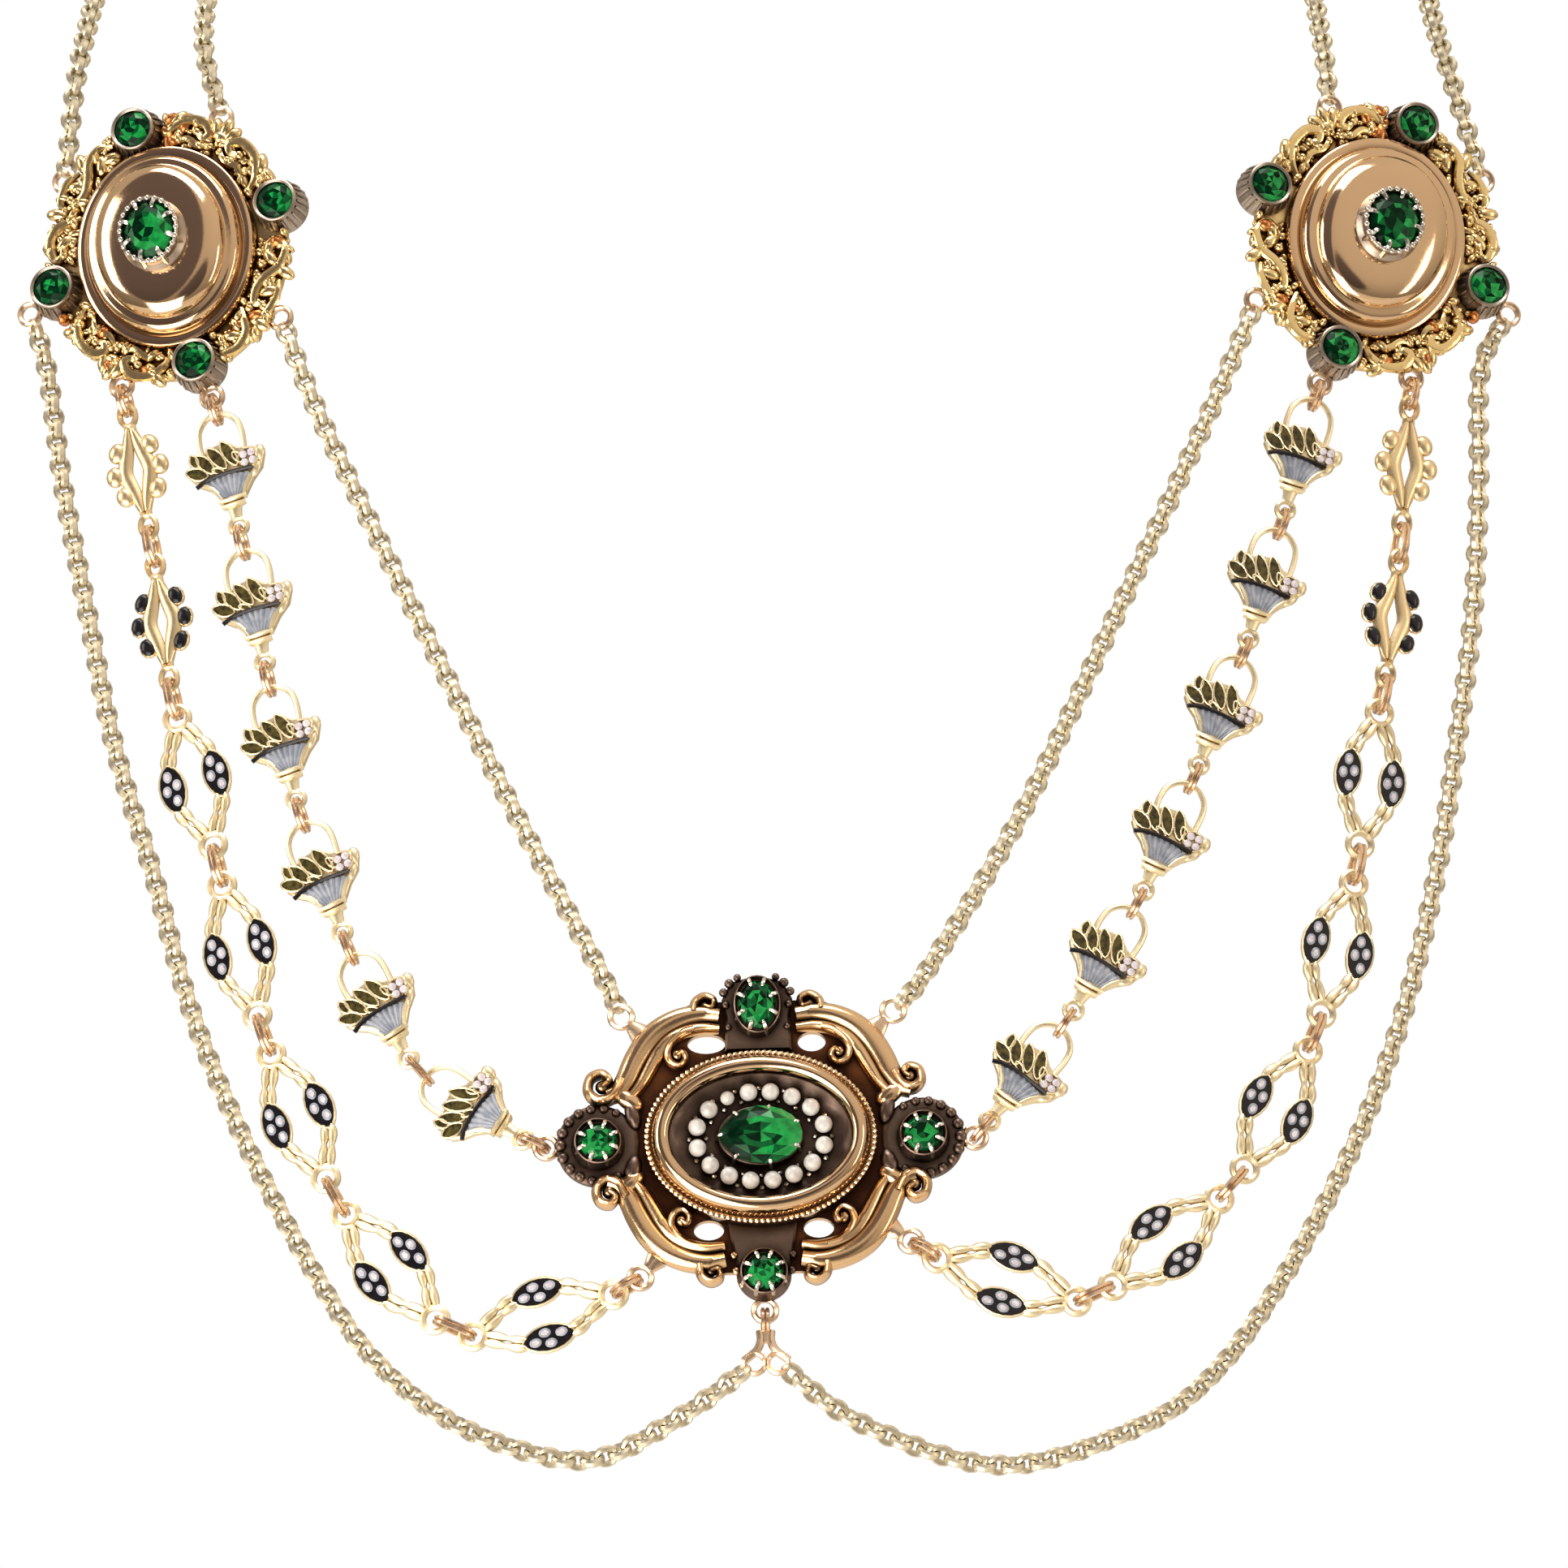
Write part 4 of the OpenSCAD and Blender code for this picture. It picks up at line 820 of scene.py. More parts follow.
# %% The corner scrolls
# Each ridge: half width, height of its crest, then points from the corner scroll's centre
OUTER_RIDGE = (1.15, 1.3, [(-0.9, 6.5), (0.9, 6.75), (2.9, 6.4), (4.9, 5.4), (6.4, 3.9), (7.5, 2.1),
                           (8.3, 0.4), (9.2, -0.9), (10.3, -1.4)])
MIDDLE_RIDGE = (0.75, 1.15, [(-0.9, 5.2), (0.9, 5.35), (2.6, 5.0), (4.2, 4.1), (5.3, 2.7), (6.2, 1.1),
                             (7.1, -0.5), (8.3, -1.9)])
INNER_RIDGE = (0.55, 1.2, [(1.6, 5.2), (2.7, 4.9), (3.7, 4.1), (4.3, 3.0), (4.0, 1.9), (3.1, 1.5), (2.5, 2.2),
                           (2.8, 2.9), (3.3, 2.6)])
SIDE_CURL = (0.62, 1.45, [(8.8, 0.2), (9.6, -1.2), (10.8, -1.6), (11.7, -0.8), (11.5, 0.4), (10.5, 0.8),
                          (9.9, 0.1), (10.5, -0.4)])
TOP_CURL = (0.5, 1.4, [(1.6, 7.0), (1.4, 8.0), (0.5, 8.6), (-0.4, 8.2), (-0.2, 7.4), (0.5, 7.6)])
# The side curls differ from corner to corner, as hand chasing does: size, shift outwards, and shift away
# from the middle line
CURL_SIZE = {(-1, 1): (1.15, 0.2, 0.0), (1, 1): (0.9, -0.3, 0.2),
             (-1, -1): (1.0, -0.2, 0), (1, -1): (1.0, -0.2, 0)}


def corner(bm, sx, sy):
    """Draws one corner's ridges and curls."""
    size, shift, lift = CURL_SIZE[(sx, sy)]
    for ridge in (OUTER_RIDGE, MIDDLE_RIDGE, INNER_RIDGE, SIDE_CURL, TOP_CURL):
        half, crest, points = ridge
        if ridge is SIDE_CURL:
            points = [(10 + (u - 10) * size + shift, v * size + lift) for u, v in points]
        drop = 1.04 if sy < 0 else 1.0
        path = curve([in_corner(sx, sy, u, v * drop, FRAME_T * 0.6) for u, v in points], 5)
        thin = ridge in (OUTER_RIDGE, MIDDLE_RIDGE)
        sweep(bm, path, lambda t: (half * (0.75 + 0.35 * math.sin(math.pi * t) if thin else 1.05 - 0.4 * t),
                                   crest * (1 - 0.15 * t)), sides=12)
        if not thin:
            bead(bm, path[-1] + UP * 0.25, half * 1.15)


# %% Dark seats, collets and beads around the small stones
PASTE_R = 1.9
SMALL = {"north": (0, STONE_UP, 2.55), "east": (LOBE_X, 0, PASTE_R), "south": (0, -STONE_UP, PASTE_R),
         "west": (-LOBE_X, 0, PASTE_R)}


def small_collet(bm, x, y, half_y):
    """A silver collet that opens upwards, with eight claws over the stone's edge."""
    rows = [(0.0, FRAME_T * 0.8), (0.1, 1.4), (0.42, 1.9), (0.45, 2.5), (0.38, 2.85), (0.5, 2.95),
            (0.72, 2.6)]
    turned(bm, PASTE_R + 0.8, half_y + 0.8, rows, (x, y, 0), sides=32, material=2)
    claws(bm, (x, y, 0), PASTE_R, half_y, 1.6, 3.0, 8, 0.24, 0.32, 0.5, start=0.5, material=3)


# Leaves where the frame meets a side disc: place, half length, half width, lean, gold or blackened silver
LEAVES = [(12.9, 4.5, 1.7, 0.95, 35, 0), (12.5, 2.9, 1.5, 0.8, 75, 2), (12.6, -2.5, 1.5, 0.85, -75, 2),
          (12.9, -3.9, 1.7, 0.9, -35, 0)]


def seats(bm):
    """Blackened silver under the small stones: two beaded discs, a block and a wedge."""
    for x, y, half_y in SMALL.values():
        small_collet(bm, x, y, half_y)
    for side in (-1, 1):
        turned(bm, 4.1, 4.1, [(0.1, 0), (0, 0.2), (0, 1.0), (0.3, 1.22), (0.7, 1.28), (1.2, 1.25)],
               (side * LOBE_X, 0, 0), sides=48, material=2)
        for i in range(13):
            spot = Vector((side * LOBE_X, 0, 1.2)) + polar(3.7, (0 if side > 0 else 180) - 120 + 20 * i)
            bead(bm, spot, 0.62 - 0.03 * abs(i - 6), material=2)
        for x, y, long, wide, lean, material in LEAVES:
            bead(bm, (side * x, y, 1.1), 1, (long, wide, 0.75), side * lean, material=material)
    block = [(-3.3, 9.2), (3.3, 9.2), (3.2, 12.5), (3.5, 14.5), (2.6, 16.3), (0, 17.0), (-2.6, 16.3),
             (-3.5, 14.5), (-3.2, 12.5)]
    tablet(bm, flat(block), 0, 1.6, 0.3, 2)
    wedge = [(-3.4, -8.2), (-2.9, -11.8), (-2.0, -14.6), (0, -16.0), (2.0, -14.6), (2.9, -11.8), (3.4, -8.2)]
    tablet(bm, flat(wedge), 0, 1.35, 0.3, 2)
    for side in (-1, 1):
        for x, y, r in ((2.7, 16.1, 0.5), (3.3, 15.2, 0.45), (1.9, 16.7, 0.4), (3.1, 13.9, 0.4),
                        (2.9, 11.6, 0.35)):
            bead(bm, (side * x, y, 1.6), r, material=2)
        for x, y, r in ((2.7, -13.2, 0.45), (2.1, -14.6, 0.4), (2.9, -11.6, 0.4)):
            bead(bm, (side * x, y, 1.3), r, material=2 if side > 0 else 0)


# Loops of the frame: side, up or down, and the angle around the corner scroll's centre
CORNER_LOOPS = {"inner_left": (-1, 1, 38), "inner_right": (1, 1, 38), "lozenge_left": (-1, -1, 48),
                "lozenge_right": (1, -1, 28)}
CORNER_REACH = 8.5 + 1.7 + RING_R - LAP


def frame_loop(which):
    """The centre of one of the frame's loops, in its own frame."""
    if which.startswith("lobe"):
        return Vector((SIDES[which[5:]] * (LOBE_X + 4.2 + RING_R - LAP), 0, FRAME_T / 2))
    if which == "south":
        return Vector((0, -STONE_UP - PASTE_R - 0.7 - RING_R + LAP, FRAME_T / 2))
    sx, sy, angle = CORNER_LOOPS[which]
    turn = math.radians(angle)
    return in_corner(sx, sy, CORNER_REACH * math.cos(turn), CORNER_REACH * math.sin(turn), FRAME_T / 2)


bm = bmesh.new()
pierced_plate(bm, reach=8.05, thick=0.9, material=1)
for sx in (-1, 1):
    for sy in (-1, 1):
        corner(bm, sx, sy)
seats(bm)
for which in [*CORNER_LOOPS, "lobe_left", "lobe_right", "south"]:
    spot = frame_loop(which)
    loop(bm, spot, -Vector((spot.x, spot.y, 0)))
finish("scroll_frame", bm, CENTRE, [chased_gold, recess_gold, dark_silver, claw_silver, ring_gold],
       ["centre_frame"])
for i, (name, (x, y, half_y)) in enumerate(SMALL.items()):
    bm = bmesh.new()
    gem(bm, (x, y, 2.45), PASTE_R, half_y, 40 + i, lit=(0, -0.2), share=0.4)
    finish(f"small_stone_{name}", bm, CENTRE, PASTE, [f"centre_stone_{name}"], crease=0)

# %% [markdown]
# ## Centre plaque: bezel, pearls and the pointed stone
#
# The bezel is a hollow ring with a milled edge. A row of tiny beads was rolled on with a wheel, then
# the band swells and drops to a blackened floor, where sixteen seed pearls sit round the stone. The
# pearls are spaced by length along their oval. Equal angles would crowd them at the ends.

# %% The bezel
BEZEL_ROWS = [(0.2, 0), (0.1, 0.2), (0.15, 1.5), (0.5, 1.6), (0.68, 1.5), (0.75, 1.95), (0.9, 2.6),
              (1.15, 3.05), (1.5, 3.33), (1.85, 3.38), (2.15, 3.25), (2.4, 2.95), (2.52, 2.5), (2.6, 0.9)]
BEZEL_SEAT = FRAME_T + 0.125
FLOOR_UP = BEZEL_SEAT + 0.7


def evenly(points, count):
    """Places a number of spots at equal lengths along a closed row of points."""
    ring = points + points[:1]
    lengths = [0.0]
    for a, b in zip(ring, ring[1:]):
        lengths.append(lengths[-1] + (b - a).length)
    spots, k = [], 0
    for i in range(count):
        goal = lengths[-1] * (i + 0.5) / count
        while lengths[k + 1] < goal:
            k += 1
        spots.append(ring[k].lerp(ring[k + 1], (goal - lengths[k]) / (lengths[k + 1] - lengths[k])))
    return spots


bm = bmesh.new()
turned(bm, BEZEL_X, BEZEL_Y, [(inset, BEZEL_SEAT + rise) for inset, rise in BEZEL_ROWS], sides=96)
turned(bm, BEZEL_X - 2.4, BEZEL_Y - 2.4, [(0.05, FLOOR_UP - 0.3), (0, FLOOR_UP + 1.3), (0.7, FLOOR_UP + 0.5),
                                          (1.6, FLOOR_UP + 0.25)], material=1)
for spot in evenly(oval(BEZEL_X - 0.3, BEZEL_Y - 0.3, 240), 110):
    bead(bm, spot + UP * (BEZEL_SEAT + 1.6), 0.27, fine=1)
STONE_L, STONE_W = 4.1, 2.95
PEARLS, PEARL_R, PEARL_X, PEARL_Y = 16, 0.88, 6.4, 4.55
pearl_spots = evenly(oval(PEARL_X, PEARL_Y, 240), PEARLS)
for a, b in zip(pearl_spots, pearl_spots[1:] + pearl_spots[:1]):
    between = (a + b) / 2
    bead(bm, between * 1.13 + UP * (FLOOR_UP + 0.35), 0.27, fine=1, material=2)
    bead(bm, between * 0.86 + UP * (FLOOR_UP + 0.45), 0.22, fine=1, material=2)
turned(bm, STONE_L + 0.15, STONE_W + 0.15, [(0, FLOOR_UP), (0.1, FLOOR_UP + 1.3), (0.3, FLOOR_UP + 1.4)],
       sides=48, material=1)
claws(bm, (0, 0, 0), STONE_L - 0.1, STONE_W - 0.1, FLOOR_UP + 0.3, FLOOR_UP + 1.65, 7, 0.2, 0.25, 0.4,
      start=0.5, material=2)
finish("bezel", bm, CENTRE, [rose_gold, dark_silver, claw_silver], ["centre_bezel"])

# %% Pearls and centre stone
bm = bmesh.new()
for i, spot in enumerate(pearl_spots):
    bead(bm, spot + UP * (FLOOR_UP + PEARL_R + 0.1), PEARL_R * (0.8 if i == 5 else 1), fine=3)
finish("pearls", bm, CENTRE, [pearl], ["centre_pearls"])
bm = bmesh.new()
# The centre stone's facets are painted lit towards its right and shaded towards its left
gem(bm, (0, 0, FLOOR_UP + 1.55), STONE_L, STONE_W, 7, points=10, lit=(0.95, 0.1), share=0.27, point=0.35)
finish("centre_stone", bm, CENTRE, PASTE, ["centre_stone"], crease=0)
print(PEARLS, "pearls,", len(pearl_spots) * 2, "grains")

# %% [markdown]
# ## Strands
#
# Each strand hangs from a loop of a side plaque to a loop of the centre plaque. Its route is a curve
# through a few given points, laid on the chest. Links are then set along it by length, so they keep
# their size wherever the curve bends. A simulation would find a hanging curve too, but it could not be
# told to lie as these strands lie.

# %% Routes of the strands, as width and height
ROUTES = {
    "inner_left": [(-44.5, -86), (-34.5, -106), (-24.5, -125.5), (-16, -141)],
    "inner_right": [(45, -86), (35.5, -106), (26, -125.5), (16.5, -141)],
    "outer_left": [(-73.5, -80), (-71.5, -92), (-68.5, -105.5), (-65.5, -118.5), (-61, -132), (-57, -145),
                   (-51.5, -157.5), (-44.5, -170), (-38, -179), (-29, -185.5), (-17.5, -188.5), (-9, -185)],
    "outer_right": [(74, -80), (73.5, -92), (72.5, -105.5), (70.5, -118.5), (68, -132), (64.5, -145),
                    (59.5, -157.5), (52.5, -170), (45, -180), (37, -185.5), (23.5, -189), (10, -185)],
    "lozenge_left": [(-64, -89), (-61.5, -101), (-59.5, -114), (-55.5, -127), (-52.5, -138.5), (-48.5, -150),
                     (-42.5, -162.5), (-36, -171.5), (-29, -176.5), (-20, -175.5)],
    "lozenge_right": [(65.5, -94), (64, -107), (61.5, -121), (59, -135), (55, -148), (48.5, -160), (39, -169),
                      (30, -173.5), (21, -171)],
    "basket_left": [(-54, -92), (-51, -106), (-48, -119.5), (-43.5, -133), (-37, -147), (-29, -155)],
    "basket_right": [(54, -92), (49.5, -107), (44, -120.5), (38, -133.5), (31, -145), (24.5, -153.5)],
}
# Size of the clasp: across, from front to back, and up
CLASP = (20, 2.6, 7)
# Behind the shoulders the two chains of each side run to the nape, as x outwards, y and z
BACK_ROUTES = {"inner": [(58, -84, -44), (56, -62, -29), (47, -34, -14), (32, -13, -3), (18, -3, 1)],
               "outer": [(71, -80, -46), (68, -58, -32), (57, -29, -19), (39, -9, -9), (20, -1, -4)]}


def clasp_loop(side, up):
    """The centre of one of the clasp's four loops."""
    return Vector((side * (CLASP[0] / 2 + RING_R - LAP), CLASP[1] / 2, up * (CLASP[2] / 2 - RING_R)))


class Strand:
    """A route with places along it by length, in millimetres."""

    def __init__(self, points):
        self.points = curve(points, 8)
        self.lengths = [0.0]
        for a, b in zip(self.points, self.points[1:]):
            self.lengths.append(self.lengths[-1] + (b - a).length)
        self.total = self.lengths[-1]

    def at(self, s):
        """The point at this length from the start."""
        k = 0
        while k < len(self.points) - 2 and self.lengths[k + 1] < s:
            k += 1
        share = (s - self.lengths[k]) / (self.lengths[k + 1] - self.lengths[k])
        return self.points[k].lerp(self.points[k + 1], min(max(share, 0), 1))

    def frame(self, s, t):
        """A frame midway between two lengths, with X from the first to the second and Z off the chest."""
        a, b = self.at(s), self.at(t)
        middle = (a + b) / 2
        return axes_at(middle, b - a, off_chest(middle.x)), (b - a).length


def front_strand(kind, side_name, start_loop, end):
    """A strand from a loop of a side plaque, down the chest, to a point on the centre plaque."""
    start = PLAQUE[side_name] @ loop_spot(SIDES[side_name], start_loop)
    return Strand([start] + [chest(x, z) for x, z in ROUTES[f"{kind}_{side_name}"]] + [CENTRE @ end])


def jump_ring(bm, place, length, wire=0.22, rise=1.575):
    """A jump ring of two turns of wire, drawn out to the length between what it joins."""
    straight = max(length - 2 * rise, 0) / 2
    for turn in (-0.5, 0.5):
        y = turn * 2.05 * wire
        path = []
        for spot in oval(rise, rise, 20):
            shift = straight if spot.x > 0 else -straight
            path.append(place @ Vector((spot.x + shift, y, spot.y)))
        sweep(bm, path, (wire, wire), place.col[1].to_3d(), 6, closed=True)


# %% [markdown]
# ## Lozenge and lobed links
#
# These links were stamped and then filled with enamel. Each is flat, with an end ring at both ends.
# Between them two arms of doubled, beaded wire part and meet again, and each holds a pointed panel:
# black glass with four pale dots, on a gold back. The two links at the top of each strand are of another
# kind, in a richer gold, with three lobes a side. One link of each kind is drawn and stamped.

# %% The lozenge link
LOZENGE_L, LOBED_L = 14.6, 12.6
PANEL_OUT, PANEL_L, PANEL_W = 2.4, 5.1, 2.6
# Slots of the materials of a link or a basket
GOLD, BLACK, LAVENDER, WHITE, LEAF = range(5)


def pointed(length, width, count=9):
    """A pointed leaf's outline, with its middle at the origin, lying along X."""
    top = [Vector((length / 2 * math.cos(math.pi * i / count),
                   width / 2 * math.sin(math.pi * i / count) ** 1.3, 0)) for i in range(count)]
    return top + [-p for p in top]


def beside(path, shift):
    """The same path, moved sideways in its plane."""
    moved = []
    for i, p in enumerate(path):
        ahead = path[min(i + 1, len(path) - 1)] - path[max(i - 1, 0)]
        moved.append(p + ahead.cross(UP).normalized() * shift)
    return moved


def enamel_panel(bm, at, turn):
    """A pointed panel with a gold back and edge, black ground and four pale dots."""
    place = Matrix.Translation(at) @ Matrix.Rotation(turn, 4, "Z")
    outline = pointed(PANEL_L, PANEL_W)
    tablet(bm, outline, -0.4, 0.0, 0.05, GOLD, place)
    tablet(bm, outline, -0.02, 0.34, 0.08, BLACK, place)
    rim = [place @ (p * 1.04 + UP * 0.08) for p in outline]
    sweep(bm, rim, (0.16, 0.3), sides=6, closed=True, material=GOLD)
    for x, y in ((-1.4, -0.22), (-0.3, 0.56), (0.13, -0.58), (1.35, 0.26)):
        bead(bm, place @ Vector((x, y, 0.3)), 1, (0.68, 0.52, 0.12), math.degrees(turn), 2, LAVENDER)
        bead(bm, place @ Vector((x, y, 0.38)), 1, (0.46, 0.32, 0.07), math.degrees(turn), 1, WHITE)


def beaded_wire(t):
    """Half width and half height of a wire that swells twice along its way."""
    swell = abs(math.sin(math.tau * t))
    return 0.24 + 0.24 * swell, 0.3 + 0.22 * swell


def lozenge_link(bm):
    """A link with two enamel panels, each held between two runs of double wire."""
    for end in (-1, 1):
        sweep(bm, oval(1.25, 1.25, 20, (end * (LOZENGE_L / 2 - 0.1), 0, 0)), (0.34, 0.42), sides=6,
              closed=True)
        for side in (-1, 1):
            path = curve([(end * 6.2, side * 0.5, 0), (end * 5.2, side * 1.0, 0), (end * 4.1, side * 1.6, 0),
                          (end * 3.1, side * 2.1, 0), (end * 2.2, side * 2.35, 0)], 4)
            for shift in (-0.4, 0.4):
                sweep(bm, beside(path, shift), beaded_wire, sides=10)
    for side in (-1, 1):
        enamel_panel(bm, (0, side * PANEL_OUT, 0), side * 0.03)


# %% The lobed links


def lobed_link(bm, enamelled):
    """A link with a pointed slit and three lobes a side, plain gold or with black enamel."""
    for end in (-1, 1):
        sweep(bm, oval(1.2, 0.85, 16, (end * (LOBED_L / 2 - 0.1), 0, 0)), (0.3, 0.4), sides=6, closed=True)
        for side in (-1, 1):
            neck = [(end * (LOBED_L / 2 - 1.2), side * 0.3, 0), (end * (LOBED_L / 2 - 2.6), side * 0.38, 0)]
            sweep(bm, [Vector(p) for p in neck], (0.34, 0.4), sides=6)
    for side in (-1, 1):
        slit = [(4.6, 0.25), (3.2, 0.5), (1.8, 0.9), (0, 1.35), (-1.8, 0.9), (-3.2, 0.5), (-4.6, 0.25)]
        sweep(bm, curve([(x, side * y, 0) for x, y in slit], 3),
              lambda t: (0.3 + 0.52 * max(math.sin(math.pi * t), 0) ** 0.7, 0.5), sides=10)
        for i in (-1, 0, 1):
            spot = Vector((i * 2.45, side * (2.5 - 0.7 * abs(i)), 0))
            turn = math.degrees(-side * i * 0.4)
            if enamelled:
                bead(bm, spot, 1, (1.15, 0.92, 0.5), turn)
                bead(bm, spot + UP * 0.28, 1, (1.02, 0.76, 0.34), turn, material=BLACK)
            else:
                bead(bm, spot + UP * 0.1, 1, (1.1, 0.92, 0.65), turn, 3)


LINKS = {"lozenge": pattern("lozenge", lozenge_link),
         "plain": pattern("plain", lambda bm: lobed_link(bm, False)),
         "enamelled": pattern("enamelled", lambda bm: lobed_link(bm, True))}
ENAMELS = [link_gold, black_enamel, lavender_enamel, white_enamel]
LOBED = [rich_gold, black_enamel]
END_STEP = 2 * RING_R + 0.35
KINDS = ["plain", "enamelled"] + ["lozenge"] * 5
for side_name in SIDES:
    strand = front_strand("lozenge", side_name, "lozenge", frame_loop(f"lozenge_{side_name}"))
    lengths = [LOZENGE_L if kind == "lozenge" else LOBED_L for kind in KINDS]
    step = (strand.total - sum(lengths) - 2 * END_STEP) / (len(KINDS) - 1)
    rings = bmesh.new()
    here, before = END_STEP, 0.0
    for i, (kind, length) in enumerate(zip(KINDS, lengths)):
        place, _ = strand.frame(here, here + length)
        bm = bmesh.new()
        stamp(bm, LINKS[kind], Matrix())
        finish(f"{kind}_link_{side_name}_{i + 1}", bm, place, ENAMELS if kind == "lozenge" else LOBED,
               [f"lozenge_{side_name}_{i + 1}"])
        jump_ring(rings, *strand.frame(before, here))
        before = here + length
        here = before + step
    jump_ring(rings, *strand.frame(before, strand.total))
    finish(f"lozenge_jump_rings_{side_name}", rings, Matrix(), [ring_gold],
           [f"lozenge_rings_{side_name}"])
    print(side_name, "lozenge strand, mm:", round(strand.total, 1), "step", round(step, 2))

# %% [markdown]
# ## Basket links
#
# Each of these is a tiny basket of flowers. A wire handle stands over a row of leaves in olive enamel, a
# four-petalled flower in white sits at its right, and the ribbed body below is lavender. Every leaf is
# a cell of gold wire with glass melted into it. So each cell is a flat dark tablet with a wire swept
# round its outline.

# %% The basket
BASKET_L = 12.4
TOP = BASKET_L / 2
# Leaf cells: place, length, width and lean
CELLS = [(-3.15, 1.75, 1.5, 0.85, 100), (-3.1, 0.35, 2.3, 1.25, 155), (-2.05, 1.15, 2.6, 1.15, 122),
         (-0.75, 1.45, 2.9, 1.15, 120), (0.6, 1.6, 3.0, 1.15, 112), (-0.85, 0.05, 1.3, 0.6, 150),
         (1.45, 0.95, 1.5, 0.75, 125)]
RIM = [(-3.4, -0.85), (-2.4, -0.45), (-1.1, -0.2), (0.3, -0.15), (1.6, -0.2), (2.8, -0.25)]


def basket_link(bm):
    """A basket of leaves with a flower, upright, with its handle above and its eye below."""
    arch = [Vector((-2.0, 1.3, 0)), Vector((-2.3, 2.6, 0))]
    for a in (0, 0.5, 1.05, 1.57, 2.1, 2.64, 3.14):
        arch.append(Vector((-2.3 * math.cos(a), 3.85 + 2.35 * math.sin(a), 0)))
    arch += [Vector((2.3, 2.6, 0)), Vector((2.2, 1.3, 0))]
    sweep(bm, curve(arch, 4), (0.3, 0.3))
    back = [(-3.9, 0.0), (-3.7, 1.9), (-2.9, 2.6), (-1.9, 2.5), (-0.9, 2.9), (0.4, 3.1), (1.5, 2.2),
            (3.3, 1.8), (4.15, 0.9), (3.6, -0.6), (2.4, -1.7), (1.35, -3.1), (-0.95, -3.1),
            (-2.2, -1.6), (-3.2, -0.9)]
    tablet(bm, flat(back), -0.6, 0.25, 0.2, GOLD)
    for x, y, length, width, lean in CELLS:
        place = Matrix.Translation((x, y, 0)) @ Matrix.Rotation(math.radians(lean), 4, "Z")
        outline = pointed(length, width, 6)
        tablet(bm, outline, -0.2, 0.5, 0.08, LEAF, place)
        sweep(bm, [place @ (p * 1.06 + UP * 0.42) for p in outline], (0.11, 0.18), sides=6, closed=True,
              material=GOLD)
    sweep(bm, curve([(x, y - 0.25, 0.5) for x, y in RIM], 3), lambda t: (0.24 - 0.04 * t, 0.22), sides=6,
          material=BLACK)
    for i in range(8):
        share = i / 7
        top = Vector((-2.35 + 4.5 * share, -0.85 + 0.3 * math.sin(math.pi * share), 0.2))
        foot = Vector((-0.8 + 1.75 * share, -2.95, 0.2))
        sweep(bm, [top, (top + foot) / 2, foot], lambda t: (0.36 - 0.18 * t, 0.3), sides=6, material=LAVENDER)
    for edge in (-1, 1):
        side = [(0.1 + edge * 2.75, -0.75, 0.2), (0.1 + edge * 1.7, -1.9, 0.25),
                (0.1 + edge * 1.15, -3.0, 0.2)]
        sweep(bm, curve(side, 3), (0.24, 0.32), sides=6, material=GOLD)
    for y, half, tall in ((-3.15, 1.45, 0.34), (-3.8, 1.2, 0.3)):
        sweep(bm, curve([(0.05 - half, y - 0.05, 0), (0.05, y - 0.12, 0.22), (0.05 + half, y + 0.08, 0)], 5),
              lambda t: (tall * (0.6 + 0.5 * math.sin(math.pi * t)), 0.62), sides=10, material=GOLD)
    sweep(bm, flat([(0, -3.9), (0, -4.5), (0, -5.3)]), lambda t: (0.85 - 0.3 * t, 0.45), sides=10,
          material=GOLD)
    sweep(bm, oval(0.9, 0.9, 16, (0, -TOP, 0)), (0.28, 0.35), sides=6, closed=True, material=GOLD)
    for dx, dy in ((-0.45, -0.42), (0.45, -0.36), (-0.42, 0.45), (0.45, 0.5)):
        bead(bm, (2.5 + dx, 0.6 + dy, 0.45), 1, (0.44, 0.44, 0.3), material=WHITE)
    sweep(bm, oval(1.05, 1.03, 18, (2.5, 0.62, 0.3)), (0.14, 0.32), sides=6, closed=True, material=GOLD)
    bead(bm, (3.7, 0.9, 0.1), 1, (0.65, 0.9, 0.5), -10, material=GOLD)
    bead(bm, (3.0, -0.7, 0.1), 1, (0.95, 0.5, 0.42), 50, material=GOLD)


basket_mesh = pattern("basket", basket_link)
BASKETS, HANDLE_WIRE, JUMP_WIRE, CLEAR, BASKET_EYE_R = 6, 0.6, 0.45, 0.25, 1.15
top_step = RING_R + HANDLE_WIRE / 2 + CLEAR
foot_step = RING_R + BASKET_EYE_R + CLEAR
past_handle = (HANDLE_WIRE + JUMP_WIRE) / 2 + CLEAR
BASKET_ENAMELS = ENAMELS + [leaf_enamel]
for side_name in SIDES:
    strand = front_strand("basket", side_name, "basket", frame_loop(f"lobe_{side_name}"))
    step = (strand.total - BASKETS * BASKET_L - top_step - foot_step) / (BASKETS - 1)
    rings = bmesh.new()
    here, before = top_step, 0.0
    for i in range(BASKETS):
        place, _ = strand.frame(here, here + BASKET_L)
        bm = bmesh.new()
        stamp(bm, basket_mesh, Matrix())
        finish(f"basket_link_{side_name}_{i + 1}", bm, place @ Matrix.Rotation(math.radians(90), 4, "Z"),
               BASKET_ENAMELS, [f"basket_{side_name}_{i + 1}"])
        spot, length = strand.frame(before, here)
        jump_ring(rings, spot @ Matrix.Translation((past_handle / 2, 0, 0)), length + past_handle, 0.19)
        before = here + BASKET_L
        here = before + step
    jump_ring(rings, *strand.frame(before, strand.total), 0.19)
    finish(f"basket_jump_rings_{side_name}", rings, Matrix(), [ring_gold],
           [f"basket_rings_{side_name}"])
    print(side_name, "basket strand, mm:", round(strand.total, 1), "step", round(step, 2))

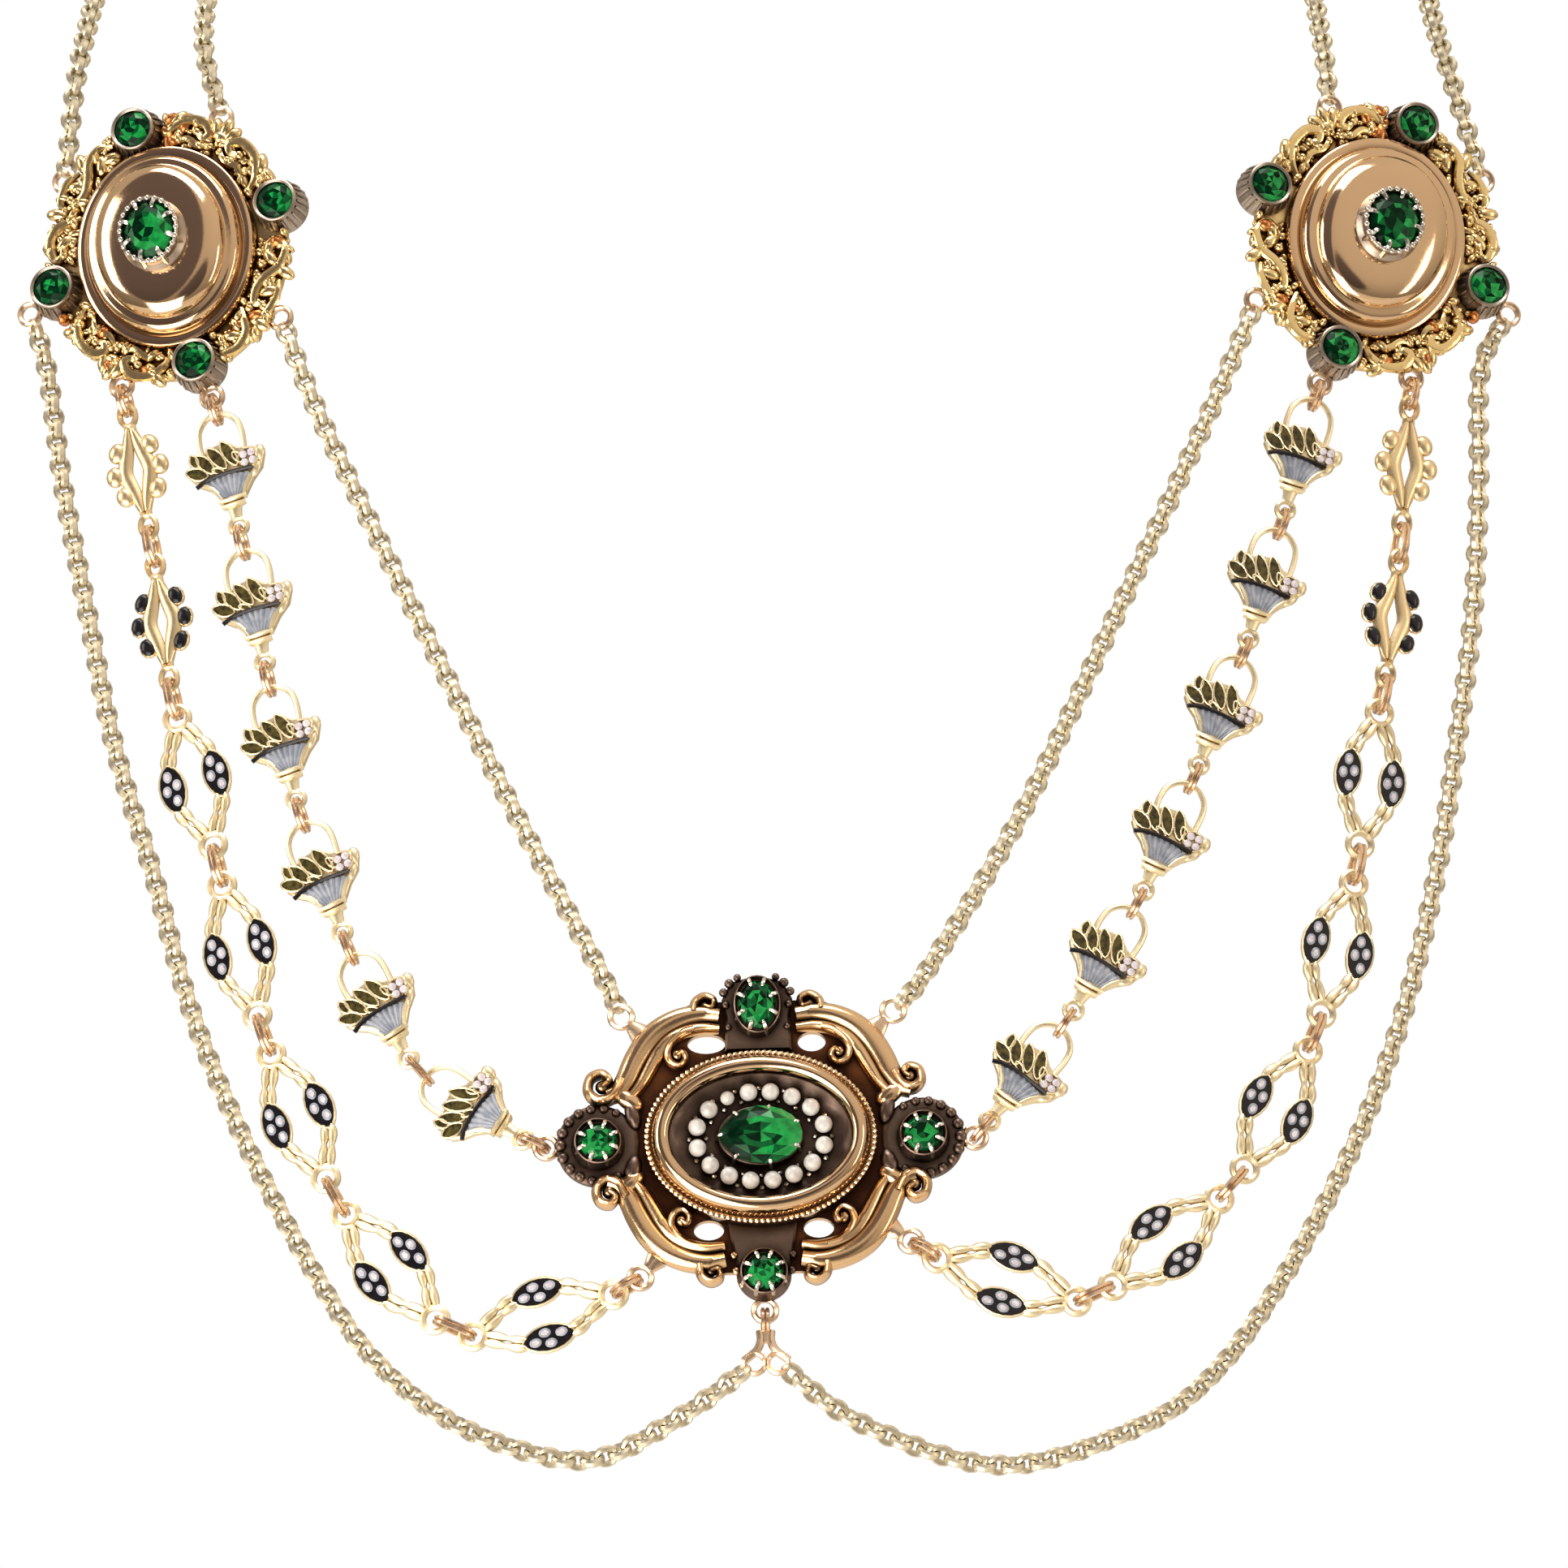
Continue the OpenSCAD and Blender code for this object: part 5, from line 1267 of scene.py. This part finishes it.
# %% [markdown]
# ## Fine chain
#
# The chain is plain round-link chain of a flat band of wire, about seven links to a centimetre. Each
# link is turned a quarter against the one before, so the eye sees a row of small chevrons. There are
# over seven hundred of them, so one link is a ring of only 72 faces, stamped along every route.

# %% The chain link and its places
LINK_LONG, LINK_WIDE, LINK_WIRE, LINK_BAND, PITCH = 1.28, 1.16, 0.3, 0.45, 1.4
chain_link = pattern("chain_link", lambda bm: sweep(
    bm, oval(LINK_LONG - LINK_WIRE, LINK_WIDE - LINK_WIRE, 12), (LINK_WIRE, LINK_BAND), sides=6, closed=True))


def chain(name, strand, replaced, turn=45):
    """Stamps links along a route, each a quarter turn from the one before; turn is the first one's."""
    trim = RING_R * 0.75
    count = round((strand.total - 2 * trim) / PITCH)
    bm = bmesh.new()
    for i in range(count):
        s = trim + (strand.total - 2 * trim) * (i + 0.5) / count
        place, _ = strand.frame(s - 0.6, s + 0.6)
        stamp(bm, chain_link, place @ Matrix.Rotation(math.radians(turn + 90 * (i % 2)), 4, "X"))
    finish(name, bm, Matrix(), [chain_gold], [replaced])
    return count


DROP_L, DROP_EYE_OUT = 4.2, 0.88 * (RING_R - 0.1)
drop_spot = frame_loop("south") - Vector((0, DROP_L + 1.1, 0))
links = 0
for side_name, side in SIDES.items():
    links += chain(f"inner_chain_{side_name}_links",
                   front_strand("inner", side_name, "inner_front", frame_loop(f"inner_{side_name}")),
                   f"inner_chain_{side_name}", 30 * side)
    links += chain(f"outer_chain_{side_name}_links",
                   front_strand("outer", side_name, "outer_front",
                                drop_spot + Vector((side * DROP_EYE_OUT, 0, 0))),
                   f"outer_chain_{side_name}")
    for run, up in (("inner", 1), ("outer", -1)):
        start = PLAQUE[side_name] @ loop_spot(side, f"{run}_back")
        route = [Vector((side * x, y, z)) for x, y, z in BACK_ROUTES[run]]
        links += chain(f"back_chain_{side_name}_{run}_links",
                       Strand([start] + route + [clasp_loop(side, up)]), f"back_chain_{side_name}_{run}")
print("chain links:", links)

# %% [markdown]
# ## Drop link and clasp
#
# Under the centre plaque the two outer chains meet in a small tapered link. At the nape a plain box
# clasp closes the necklace. The picture doesn't show it, so it is only a bar with soft edges. A bevel
# on a cube makes it, with one clean radius on every edge.

# %% Drop link
bm = bmesh.new()
ring_place = Matrix.Translation((0, -0.95, 0)) @ Matrix.Rotation(math.radians(90), 4, "Z")
jump_ring(bm, ring_place, 1.9, rise=1.075)
for side in (-1, 1):
    leg = [(0.55, -2.0), (0.5, -3.0), (0.95, -4.0), (2.2, -5.0)]
    sweep(bm, curve([(side * x, y, 0) for x, y in leg], 4), (0.42, 0.42))
sweep(bm, flat([(0, -2.0), (0, -2.5), (0, -3.2)]), lambda t: (0.8 - 0.3 * t, 0.42))
for side in (-1, 1):
    eye = Vector((side * DROP_EYE_OUT, -DROP_L - 1.1, 0))
    sweep(bm, oval(1.02, 1.02, 16, eye), (0.27, 0.42), sides=6, closed=True)
finish("drop", bm, CENTRE @ Matrix.Translation(frame_loop("south")), [ring_gold], ["drop_link"])

# %% Clasp
bm = bmesh.new()
part = bmesh.new()
bmesh.ops.create_cube(part, size=1,
                      matrix=Matrix.Translation((0, CLASP[1] / 2, 0)) @ Matrix.Diagonal((*CLASP, 1)))
bmesh.ops.bevel(part, geom=part.edges, offset=0.8, segments=4, affect="EDGES", profile=0.5, material=-1)
settle(bm, part)
for x in (-1, 1):
    for z in (-1, 1):
        spot = Matrix.Translation(clasp_loop(x, z))
        ring = [(spot @ Matrix.Rotation(math.radians(90), 4, "X")) @ p for p in oval(1.1, 1.1, 20)]
        sweep(bm, ring, (0.3, 0.42), Vector((0, 1, 0)), sides=6, closed=True)
finish("nape_clasp", bm, Matrix(), [link_gold], ["clasp"])

# %% [markdown]
# ## Size
#
# The drawn necklace must fill the same box as the imported model. Both boxes are printed, in
# millimetres, so that they can be compared.

# %% Both boxes
drawn_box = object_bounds()
for name, (a, b) in {"model": cad_box, "drawn": drawn_box}.items():
    print(name, "mm:", [round(v / MM, 1) for v in a], [round(v / MM, 1) for v in b])
